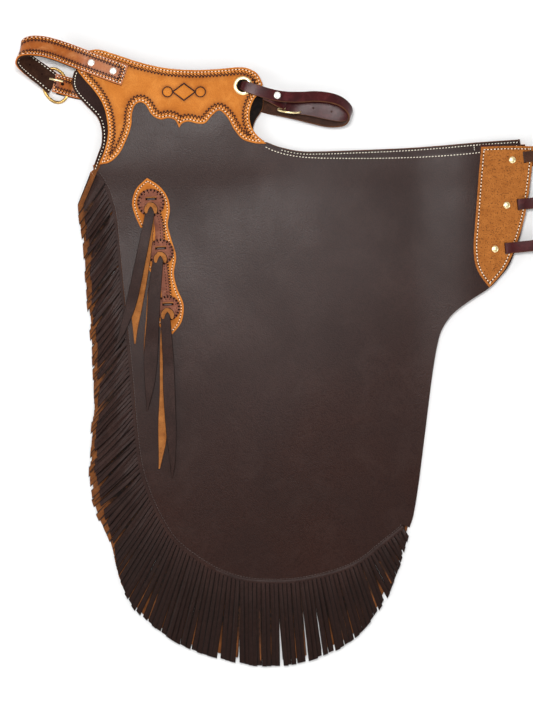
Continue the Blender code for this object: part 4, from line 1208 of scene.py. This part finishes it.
sidePanel = {
    "wall": 2.2, "rosetteWall": 0.9, "rosettes": ((-245.5, 219), (-231.5, 147), (-221, 65)), "radii": (20.2, 19.4, 18.4),
    "slotAbove": 5.4, "loopBelow": 3.0, "loopWidth": 19.0, "loopHeight": 11.0,
    "burnish": ((0, 0.1), (1, 0), (5, 0), (9, 0.3), (40, 0.4)),
    "right": (
        (-251, 255), (-232, 242), (-221, 226), (-218, 208), (-221, 187), (-216, 166), (-209, 141),
        (-212, 115), (-207, 93), (-198, 70), (-201, 45), (-214, 27),
    ),
    "left": (
        (-214, 27), (-230, 35), (-241, 54), (-241, 76), (-236, 96), (-243, 112), (-252, 128), (-255, 148),
        (-248, 168), (-247, 180), (-261, 183),
    ),
    "topLobe": ((-261, 183), (-269, 201), (-273, 219), (-267, 239), (-251, 255)),
    "bands": (((-240, 206), (-235, 192), (-233, 178), (-233, 162)), ((-229, 138), (-227, 122), (-225, 104), (-223, 80))),
}


def makeSidePanel():
    level = above(upperLevel, legs["wall"] + garment["gap"])
    runs = [smoothLine(sidePanel[run], 2.6) for run in ("right", "left", "topLobe")]
    panel = cutPanel(
        "sidePanel", level, sidePanel["wall"], joinRuns(*runs), ("tanGrain", "tanEdge", "suedeTan"),
        ("side_panel",), (), 4, 0.6, borderBurnish(joinRuns(*runs), sidePanel["burnish"]),
    )
    top = above(level, sidePanel["wall"])
    marks = Marks("sidePanelStitches", levelMapper(above(top, 0.05)), ("creamThread", "awlHole"))
    marks.guard(joinRuns(*runs))
    for run in runs:
        marks.sew(insetLine(run, -3.6), 0, 0, pitch=4.3, holes=1, inset=3.6, start=1.5, stop=1.5, size=0.8)
    marks.finish("leather_tan")
    marks = Marks("panelBandStamps", levelMapper(above(top, 0.42)), ("awlHole", "bead"))
    for number, band in enumerate(sidePanel["bands"], start=1):
        line = smoothLine(band, 3.0)
        left, right = offsetLine(line, 7.5), offsetLine(line, -6.5)
        cutPanel(
            f"panelBand{number}", above(top, 0.05), 0.35, joinRuns(left, list(reversed(right))), ("redBrown",) * 3,
            (), (), 5, 0.12,
        )
        for k, (place, heading) in enumerate(walkLine(offsetLine(line, 6.2), 2.1)):
            marks.lay(chevron if k % 2 else beadShape, place, heading, (k + 1) % 2, 0, 0.85 if k % 2 else 0.6)
        for place, heading in walkLine(offsetLine(line, 1.2), 4.2):
            marks.lay(holeShape, place, heading, 0, 0, 0.75)
    marks.finish("leather_red_brown")
    rosetteLevel = above(top, garment["gap"])
    face = above(rosetteLevel, sidePanel["rosetteWall"])
    for number, (x, y) in enumerate(sidePanel["rosettes"], start=1):
        radius = sidePanel["radii"][number - 1]
        edge = []
        for u, v in circlePoints((0, 0), 1, 88):
            reach = radius - 1.3 * (1 - abs(math.cos(11 * math.atan2(v, u))))
            edge.append((x + u * reach, y + v * reach))
        cutPanel(
            f"rosette{number}", rosetteLevel, sidePanel["rosetteWall"], edge, ("redBrown", "redBrown", "redBrown"),
            (f"rosette_{number}",), (), 3, 0.35,
            borderBurnish(edge, ((0, 0.5), (2.5, 0.15), (6, 0.0))),
        )
        marks = Marks(f"rosetteMarks{number}", levelMapper(face), ("awlHole", "darkThread", "suedeOchre"))
        for k in range(22):
            a = 2 * math.pi * (k + 0.5) / 22
            spot = (x + (radius - 1.9) * math.cos(a), y + (radius - 1.9) * math.sin(a))
            marks.lay(notchShape, spot, (math.cos(a), math.sin(a)), 0, 0, 1.55)
        for k in range(14):
            a = 2 * math.pi * k / 14
            spot = (x + (radius - 5.2) * math.cos(a), y + (radius - 5.2) * math.sin(a))
            marks.lay(holeShape, spot, (math.cos(a), math.sin(a)), 0, 0, 0.75)
        # Each slot is three plates: a near-black one, painted shade for the opening; a dark grey bar in it, a painted
        # gleam on the string inside; and an ochre lip above
        slotY = y + sidePanel["slotAbove"]
        for up, kind, wide, tall in ((0, 0, 8.4, 1.9), (2.3, 2, 8.0, 0.75), (-0.3, 1, 5.8, 0.95)):
            corners = [(-wide, -tall), (wide, -tall), (wide, tall), (-wide, tall)]
            marks.lay(plateShape(corners, (0.15, 0.3, 0.75)[kind]), (x + 0.3, slotY + up), (1, 0.05), kind)
        marks.finish("leather_red_brown")


strings = {
    "wall": 2.0,
    "stringGrain1": (
        (-246, 215, 6.7, 9), (-247, 203, 6.8, 13.5), (-253, 172, 6.8, 14.5), (-263, 123, 6.0, 15.5),
        (-273, 77, 3.4, 15.5), (-280, 53, 2.8, 13), (-289, 27, 2.4, 8), (-296, 12, 2.2, 2),
    ),
    "stringFlesh1": (
        (-246.5, 196, 4.3, 12), (-250, 165, 4.3, 14), (-254, 132, 4.0, 14.5), (-261, 91, 0.5, 14.5),
        (-267, 59, 0.4, 14.5), (-268.5, 36, 0.4, 8), (-269, 13, 0.4, 2),
    ),
    "stringGrain2": (
        (-232.5, 145, 6.7, 9), (-235, 134, 6.8, 15), (-240, 91, 5.6, 18.5), (-242, 50, 5.4, 18.5),
        (-244.5, 15, 3.2, 20), (-246, -14, 2.8, 20), (-247.5, -48, 2.6, 14), (-251, -85, 2.2, 2),
    ),
    "stringFlesh2": (
        (-236.5, 130, 4.3, 10), (-243.5, 91, 2.9, 13), (-246.5, 50, 2.9, 13), (-248.5, 20, 0.5, 14),
        (-249.5, -5, 0.4, 13), (-249.5, -26, 0.4, 8), (-249, -40, 0.4, 2),
    ),
    "stringGrain3": (
        (-222.5, 61, 6.7, 9), (-224, 50, 6.8, 14), (-222, 18, 5.4, 15.5), (-220, -15, 3.2, 16.5),
        (-219, -55, 2.8, 17.5), (-216, -113, 2.6, 15.3), (-214, -157, 2.2, 8.8), (-214.5, -183, 1.8, 2),
    ),
    "stringFlesh3": (
        (-225, 45, 4.3, 11), (-225.5, 22, 2.9, 13), (-226, -5, 0.5, 14), (-226, -55, 0.4, 14),
        (-228.5, -100, 0.4, 13), (-229, -128, 0.4, 12), (-231, -150, 0.4, 7), (-233.5, -170, 0.4, 2),
    ),
}


def makeStrings():
    leather = {"Grain": ("fringeGrain", "fringeEdge", "suedeRust"), "Flesh": ("suedeOchre", "rawEdge", "darkGrain")}
    legTop = above(upperLevel, legs["wall"])
    for number in (1, 2, 3):
        for kind in ("Flesh", "Grain"):
            tail = smoothLine(strings[f"string{kind}{number}"], 4.0)
            path = []
            for i, (x, y, height, width) in enumerate(tail):
                ahead, behind = tail[min(i + 1, len(tail) - 1)], tail[max(i - 1, 0)]
                heading = math.degrees(math.atan2(ahead[1] - behind[1], ahead[0] - behind[0])) + 90
                z = liftHeight(legTop, x, y) + height + strings["wall"] / 2
                path.append((x, y, z, heading, 0, width))
            slotName = "leather_dark" if kind == "Grain" else "suede_rust"
            node = f"string_{kind.lower()}_{number}"
            piece, frames = makeBand(
                f"string{kind}{number}", path, strings["wall"], leather[kind], slotName, (node,), step=4.0, crown=0.15,
            )
            width, length = max(row[3] for row in tail) / 1000, frames[-1][4] / 1000
            topArea(piece)
    # Each pair hangs from a suede loop, whose two lobes cross at the top like a knot
    loopLevel = above(upperLevel, legs["wall"] + sidePanel["wall"] + 1.2 + 3 * garment["gap"])
    half, drop = sidePanel["loopWidth"] / 2, sidePanel["loopBelow"]
    tall = sidePanel["loopHeight"]
    for number, (x, y) in enumerate(sidePanel["rosettes"], start=1):
        bm = bmesh.new()
        for side in (1, -1):
            path = []
            for u, v, height, width in (
                (-0.5, -0.02, 0.7, 3.2), (-0.28, 0.08, 1.5, 5.2), (0.02, 0.0, 2.2, 6.6), (0.36, -0.16, 2.5, 7.8),
                (0.62, -0.46, 2.3, 8.0), (0.72, -0.84, 1.6, 6.6), (0.68, -1.15, 1.0, 3.6),
            ):
                spot = (x + side * u * half, y - drop + v * tall)
                z = liftHeight(loopLevel, *spot) + 3.0 + height + (0.35 if side > 0 else 0)
                path.append((*spot, z, width))
            stations = smoothLine([row[:3] for row in path], 1.4)
            widths = smoothLine(path, 1.4)
            course = []
            for i, spot in enumerate(stations):
                ahead, behind = stations[min(i + 1, len(stations) - 1)], stations[max(i - 1, 0)]
                heading = math.degrees(math.atan2(ahead.y - behind.y, ahead.x - behind.x)) + 90
                course.append((*spot, heading if side > 0 else heading + 180, 0, widths[i][3]))
            frames = bandFrames([tuple(row) for row in course], 50)
            sweepBand(bm, frames, 2.6, crown=1.0 * side, rounding=1.1)
        mesh = meshFromBmesh(f"stringLoop{number}", bm)
        # The lobes' rounded edges take the dark edge finish: painted shade outlining them
        placePiece(
            f"stringLoop{number}", mesh, ("suedeOchre", "darkEdge", "suedeOchre"),
            (f"string_loop_{number}",), 50,
        )


makeSidePanel()
makeStrings()
print("side panel laced")

# The belt end with its buckle

belt = {
    "border": {"stitches": 2.5, "beads": 4.9, "zigzag": 7.3, "stampScale": 0.95, "stitchScale": 0.84},
    "faceWall": 2.0, "liningWall": 1.4, "gap": 0.6, "width": 31.0, "rivets": ((-332, 422), (-300, 410)),
    "path": (
        (-283, 404, 18.0, 71, 0, 31), (-300, 410, 18.0, 71, 0, 31), (-332, 422, 18.0, 71, 0, 31),
        (-343, 426, 18.2, 71, 1, 31), (-360, 432, 22, 72, 7, 31), (-380, 438.5, 29, 74, 13, 31),
        (-400, 443, 37, 77, 18, 31), (-418, 443, 42.5, 78, 22, 31), (-430, 438, 41, 76, 26, 31),
        (-433.5, 429, 32, 71, 29, 31), (-425, 421, 21, 61, 24, 31), (-413, 412, 14.5, 55, 17, 31),
        (-404, 405.5, 12.2, 54, 13, 31), (-394, 397.6, 10.4, 53, 9, 31), (-386, 391.5, 8.2, 53, 5, 31),
    ),
    "buckleStrap": (
        (-387, 394, 12.6, 75, 0, 27), (-379, 392, 11.4, 75, 0, 27), (-372, 390.3, 8.8, 75, 0, 27),
        (-367, 389.1, 5.8, 75, 0, 27), (-361.5, 387.8, 2.9, 75, 0, 27), (-355, 386.4, 2.3, 75, 0, 27),
        (-344, 384, 2.3, 75, 0, 27), (-312, 377, 2.3, 75, 0, 27),
    ),
}


def straightLine(start, end, across):
    count = max(2, round((end - start) / 4))
    return [(start + (end - start) * k / count, across) for k in range(count + 1)]


def toolBand(marks, length, half, ends=()):
    for side in (-1, 1):
        toolBorder(marks, straightLine(0.5, length, side * half), -side, belt["border"], 3, 3)
    for end in ends:
        turned = 1 if end else -1
        line = [(end, turned * t) for t in (-half + 3, -6, 0, 6, half - 3)]
        toolBorder(marks, line, 1, belt["border"], 0, 0)


def bandBurnish(half):
    def burnishAt(s, t, length):
        inside = min(half - abs(t), s)
        return max(0, min((inside - 3.6) / 2, 1, (half - inside) / (half - 5.6))) * 0.85 if inside > 3.6 else 0.15
    return burnishAt


def makeBelt():
    offset = -(belt["faceWall"] + belt["gap"]) / 2
    _, frames = makeBand(
        "beltFace", belt["path"], belt["faceWall"], ("beltGrain", "tanEdge", "beltGrain"), "leather_tan", ("belt_face",),
        offset, 2.5, burnishAt=bandBurnish(belt["width"] / 2),
    )
    length = frames[-1][4]
    marks = Marks("beltTooling", bandMapper(frames, offset - belt["faceWall"] / 2), toolFinishes)
    toolBand(marks, length, belt["width"] / 2, (0,))
    marks.finish("leather_tan")
    offset = (belt["liningWall"] + belt["gap"]) / 2
    makeBand(
        "beltLining", belt["path"], belt["liningWall"], ("lining", "darkEdge", "lining"), "lining_brown",
        ("belt_lining",), offset, 2.5, shift=-0.7,
    )
    marks = Marks("liningStitches", bandMapper(frames, offset + belt["liningWall"] / 2), ("creamThread", "awlHole"))
    for side in (-1, 1):
        marks.sew(straightLine(0.5, length, side * (belt["width"] / 2 - 3.4)), 0, 0, holes=1)
    hole = punchedHole(1.5, 1.5)
    for back in (24, 47):
        marks.lay(hole, (length - back, 0), (1, 0), 1)
    marks.finish("lining_brown")
    _, frames = makeBand(
        "buckleStrap", belt["buckleStrap"], 2.6, ("beltGrain", "tanEdge", "suedeTan"), "leather_tan", ("buckle_strap",),
        0, 2.5, burnishAt=bandBurnish(13.5),
    )
    marks = Marks("buckleStrapTooling", bandMapper(frames, 1.3), toolFinishes)
    toolBand(marks, frames[-1][4], 13.5)
    fold = [
        (x + 4, y - 8.5, 2.0 if x + 4 < -362 else 1.0, heading, dip, 15)
        for x, y, _, heading, dip, _ in belt["buckleStrap"][:-1]
    ]
    makeBand("buckleFold", fold, 1.6, ("lining", "darkEdge", "lining"), "lining_brown", (), 0, 2.5)
    hole = punchedHole(2.6, 2.2)
    marks.lay(hole, (12.5, 1.0), (1, 0), 1)
    marks.finish("leather_tan")


makeBelt()
print("belt sewn")

# Latigo straps: the front strap, its tail and buckle strap, and the leg straps

latigo = {
    "wall": 2.6, "width": 15.9,
    "frontStrap": (
        (-114, 390, 11.9, 70, 0, 11.5), (-113, 389.7, 15.4, 70, 0, 11.5), (-110, 388.7, 18.6, 70, 0, 13.5),
        (-104, 386.6, 19.6, 70, 0, 15.9), (-92, 382.5, 20.1, 70, 0, 15.9), (-77, 377.5, 22, 70, 3, 15.9),
        (-62, 373.5, 25, 74, 6, 15.9), (-45, 371, 29.5, 82, 9, 15.9), (-25, 370.3, 34, 88, 12, 15.9),
        (-5, 370.8, 38, 90, 16, 15.9), (15, 368.5, 40, 86, 21, 15.9), (31, 363, 39.5, 80, 26, 15.9),
        (42, 354.5, 34, 72, 31, 15.9), (45.5, 346, 25, 68, 35, 15.9), (41, 338.5, 15, 72, 38, 15.9),
        (30, 335.3, 9.4, 82, 39, 15.9), (12, 335.6, 7.4, 86, 39, 15.9), (-12, 341, 7.1, 78, 38, 15.9),
        (-30, 345.8, 7.0, 77, 36, 15.9), (-46, 350.8, 6.2, 77, 28, 17.6), (-60, 355.4, 4.6, 77, 15, 19.4),
        (-72, 359, 3.0, 77, 3, 20.4), (-82, 361.5, 2.2, 77, 0, 20), (-112, 367, 2.2, 77, 0, 17),
    ),
    "frontTail": (
        (-49, 356.4, 14.5, 82, 12, 17), (-34, 357.8, 16.6, 84, 4, 20), (-20, 357.2, 17.8, 86, -2, 22.6),
        (-4, 355.4, 18.6, 84, -4, 24.6), (14, 351.8, 19.4, 80, -4, 25.4), (30, 347.6, 20.4, 76, 0, 23),
        (42.2, 344.6, 21.4, 72, 10, 16),
    ),
    "frontBuckleStrap": (
        (-79, 376, 18.3, 70, 0, 15.9), (-68, 371.4, 19.7, 70, 3, 17), (-58, 365.2, 18.8, 74, 15, 16.5),
        (-49, 359, 16.0, 77, 28, 14.5),
    ),
}
latigoFinish = ("latigo", "rawEdge", "latigoFlesh")


def makeFrontStraps():
    makeBand(
        "frontStrap", latigo["frontStrap"], latigo["wall"], latigoFinish, "leather_burgundy", ("front_strap",),
        step=2.5, crown=0.12,
    )
    _, frames = makeBand(
        "frontTail", latigo["frontTail"], latigo["wall"], latigoFinish, "leather_burgundy", ("front_tail",),
        step=2.5, crown=0.12,
    )
    marks = Marks("frontTailHoles", bandMapper(frames, latigo["wall"] / 2 + 0.12), ("stamped",))
    hole = punchedHole(1.5, 1.5)
    # The tail's two holes are dark plates: painted shade for the openings
    for s in (41, 68):
        marks.lay(hole, (s, 0), (1, 0), 0)
    marks.finish("leather_burgundy")
    makeBand(
        "frontBuckleStrap", latigo["frontBuckleStrap"], latigo["wall"], latigoFinish, "leather_burgundy",
        ("front_buckle_strap",), step=2.5,
    )


def makeLegStraps():
    along = Vector((math.cos(strapHeading), math.sin(strapHeading)))
    heading = math.degrees(strapHeading) + 90
    for number, (x, y, drift) in enumerate(strapSlots, start=1):
        under = liftHeight(upperLevel, x, y)
        top = under + 4.3
        between = under - 1.6
        reach = 379 - x
        course = (
            (0, under + 0.4, 0), (0, top - 1.6, 0), (0.5, top + 0.6, 0), (2.2, top + 1.9, 0), (6, top + 2.0, 0),
            (18, top + 1.9, 0), (reach * 0.5, top + 3.4, 0), (reach - 14, top + 4.4, 0.1), (reach - 4, top + 2.6, 0.25),
            (reach - 0.6, (top + between) / 2, 0.5), (reach - 5, between - 2.2, 0.75), (reach - 15, between - 2.8, 0.9),
            (reach * 0.5, between - 1.4, 1), (22, between, 1), (0, between, 1), (-46, between, 1),
        )
        path = []
        for distance, height, share in course:
            spot = Vector((x, y)) + along * distance
            path.append((spot.x, spot.y + drift * share, height, heading, 0, latigo["width"]))
        turnedOut = latigoFinish if number > 1 else tuple(reversed(latigoFinish))
        makeBand(
            f"legStrap{number}", path, latigo["wall"], turnedOut, "leather_burgundy", (f"leg_strap_{number}",),
            step=3.0, crown=0.12,
        )
    for number, (x, y) in enumerate(((236, 296.2), (232, 233), (220, 170)), start=1):
        onFacing = 1.5 if number == 1 else 0
        level = above(lowerLevel, legs["wall"] + garment["gap"] + onFacing)
        corners = [(x, y - 7.95), (x + 30, y - 7.95), (x + 30, y + 7.95), (x, y + 7.95)]
        cutPanel(
            f"lowerStrap{number}", level, latigo["wall"], corners, latigoFinish,
            (f"lower_strap_{number}",),
        )


makeFrontStraps()
makeLegStraps()
print("straps threaded")

# Metal: rivets, grommet and buckles

metal = {
    "rivetRadius": 5.2, "rivetHeight": 2.0, "patchRivets": ((282, 281), (274, 215), (257, 151)),
    "frontRivet": (-61, 373.5, 28.1), "grommet": (-111, 389), "grommetProfile": (
        (14.0, 0.2), (13.7, 0), (10.4, 0), (10.4, -5.0), (8.8, -5.0), (8.7, 0.6), (8.9, 1.4), (9.6, 2.0), (10.6, 2.3),
        (11.8, 2.2), (13.0, 1.6), (13.8, 0.9),
    ),
}


def turnPiece(name, profile, place, material, nodes, sides=36, closed=False, tilt=0.0):
    bm = bmesh.new()
    rings = []
    for radius, height in profile:
        if radius < 0.01:
            rings.append([bm.verts.new((0, 0, height))])
        else:
            rings.append([bm.verts.new((*spot, height)) for spot in circlePoints((0, 0), radius, sides)])
    pairs = list(zip(rings, rings[1:])) + ([(rings[-1], rings[0])] if closed else [])
    for ring, following in pairs:
        for k in range(sides):
            beyond = (k + 1) % sides
            corners = [ring[k % len(ring)], ring[beyond % len(ring)]]
            corners += [following[beyond % len(following)], following[k % len(following)]]
            bm.faces.new(list(dict.fromkeys(corners)))
    bmesh.ops.transform(bm, matrix=Matrix.Translation(place) @ Matrix.Rotation(tilt, 4, "Y"), verts=bm.verts)
    return placePiece(name, meshFromBmesh(name, bm), (material,), nodes, 40)


def makeRivet(name, place, material, node, tilt=0.0):
    r, h = metal["rivetRadius"], metal["rivetHeight"]
    dome = ((0, 1), (0.35, 0.98), (0.62, 0.9), (0.84, 0.68), (0.97, 0.35), (1, 0), (0, 0))
    profile = [(r * across, h * high) for across, high in dome]
    turnPiece(name, profile, place, material, (node,), tilt=tilt)


def wirePiece(name, points, radius, material, node, closed=False):
    # A round brass wire through the points
    bm = bmesh.new()
    rings = []
    points = [Vector(point) for point in points]
    count = len(points)
    for i, point in enumerate(points):
        ahead = points[(i + 1) % count] if closed else points[min(i + 1, count - 1)]
        behind = points[i - 1] if closed else points[max(i - 1, 0)]
        tangent = (ahead - behind).normalized()
        across = tangent.cross(Vector((0, 0, 1))).normalized()
        over = across.cross(tangent)
        section = circlePoints((0, 0), radius, 10)
        rings.append([bm.verts.new(point + across * u + over * v) for u, v in section])
    joinRings(bm, rings, (0,) * 10, closed)
    placePiece(name, meshFromBmesh(name, bm), (material,), (node,), 60)


def ovalPoints(center, height, long, short, turn, dip=0.0, sides=44):
    points = []
    for u, v in circlePoints((0, 0), 1, sides):
        x, y, z = u * long, v * short * math.cos(dip), -v * short * math.sin(dip)
        turnedX = x * math.cos(turn) - y * math.sin(turn)
        turnedY = x * math.sin(turn) + y * math.cos(turn)
        points.append((center[0] + turnedX, center[1] + turnedY, height + z))
    return points


def makeMetal():
    yokeTop = above(upperLevel, legs["wall"] + yoke["wall"] + 2 * garment["gap"])
    for number, (x, y) in enumerate(belt["rivets"], start=1):
        makeRivet(f"beltRivet{number}", (x, y, 20.6), "nickel", f"belt_rivet_{number}")
    patchTop = above(upperLevel, legs["wall"] + patch["wall"] + 2 * garment["gap"])
    for number, (x, y) in enumerate(metal["patchRivets"], start=1):
        makeRivet(f"patchRivet{number}", (x, y, liftHeight(patchTop, x, y)), "brass", f"patch_rivet_{number}")
    makeRivet("frontRivet", metal["frontRivet"], "nickel", "front_rivet", math.radians(-13))
    x, y = metal["grommet"]
    turnPiece(
        "grommet", metal["grommetProfile"], (x, y, liftHeight(yokeTop, x, y)), "brass", ("grommet",), 48, True,
    )
    ring = ovalPoints((-385.8, 391), 2.3, 17.6, 25.6, math.radians(18))
    wirePiece("buckleFrame", ring, 2.2, "darkBrass", "buckle_frame", True)
    tongue = smoothLine(((-374, 395.6, 13.2), (-380, 396.8, 14.9), (-387, 398, 15.4), (-393, 399.3, 14.6)), 1.2)
    wirePiece("buckleTongue", tongue, 1.5, "brass", "buckle_tongue")
    ring = ovalPoints((-43.5, 352.5), 18.6, 16.5, 9.0, math.radians(-6), math.radians(66))
    wirePiece("frontBuckleFrame", ring, 1.3, "brass", "front_buckle_frame", True)


makeMetal()
print("metal set")

# Floor, light and camera

stage = {
    "middle": (-0.0466, -0.0046), "height": 3.2, "frameHeight": 1.038, "zenith": 0.06, "horizon": 1.35, "lamps": (
        ("windowTop", (-0.21, 0.52, 2.25), 0.5, 34), ("windowLeft", (-2.2, 0.1, 1.2), 1.0, 11),
        ("windowRight", (2.2, -0.6, 1.2), 1.0, 11), ("fill", (0.1, -2.3, 1.3), 1.4, 17),
    ),
}


def makeStage():
    bm = bmesh.new()
    bmesh.ops.create_grid(bm, x_segments=1, y_segments=1, size=6)
    mesh = bpy.data.meshes.new("floor")
    bm.to_mesh(mesh)
    bm.free()
    material, tree, shader = startMaterial("paper")
    shade = noiseNode(tree, addNode(tree, "ShaderNodeTexCoord").outputs["Object"], 3.0, 2)
    tree.links.new(mixColors(tree, shade, (0.84, 0.84, 0.84), (0.86, 0.86, 0.86)), shader.inputs["Base Color"])
    shader.inputs["Roughness"].default_value = 0.9
    mesh.materials.append(material)
    floor = bpy.data.objects.new("floor", mesh)
    bpy.context.scene.collection.objects.link(floor)
    floor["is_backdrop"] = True
    bpy.context.scene.view_settings.view_transform = "Standard"
    world = bpy.context.scene.world or bpy.data.worlds.new("studio")
    bpy.context.scene.world = world
    world.use_nodes = True
    # The room is paler round the sides than overhead, so flat leather isn't greyed
    tree = world.node_tree
    height = addNode(tree, "ShaderNodeSeparateXYZ")
    tree.links.new(addNode(tree, "ShaderNodeTexCoord").outputs["Generated"], height.inputs[0])
    sky = rangeNode(tree, height.outputs["Z"], 0, 1, stage["horizon"], stage["zenith"])
    tree.links.new(sky, tree.nodes["Background"].inputs["Strength"])
    tree.nodes["Background"].inputs["Color"].default_value = (1, 1, 1, 1)
    for name, place, size, power in stage["lamps"]:
        light = bpy.data.lights.new(name, "AREA")
        light.size = size
        light.energy = power
        lamp = bpy.data.objects.new(name, light)
        lamp.location = place
        lamp.rotation_euler = (Vector((0, 0, 0)) - Vector(place)).to_track_quat("-Z", "Y").to_euler()
        bpy.context.scene.collection.objects.link(lamp)
    camera = bpy.data.cameras.new("camera")
    camera.lens = camera.sensor_width * stage["height"] / stage["frameHeight"]
    viewer = bpy.data.objects.new("camera", camera)
    viewer.location = (*stage["middle"], stage["height"] + 0.012)
    bpy.context.scene.collection.objects.link(viewer)
    bpy.context.scene.camera = viewer


makeStage()
print("stage lit")

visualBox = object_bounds()
[[[float(c) for c in corner] for corner in box] for box in (cadBox, visualBox)]
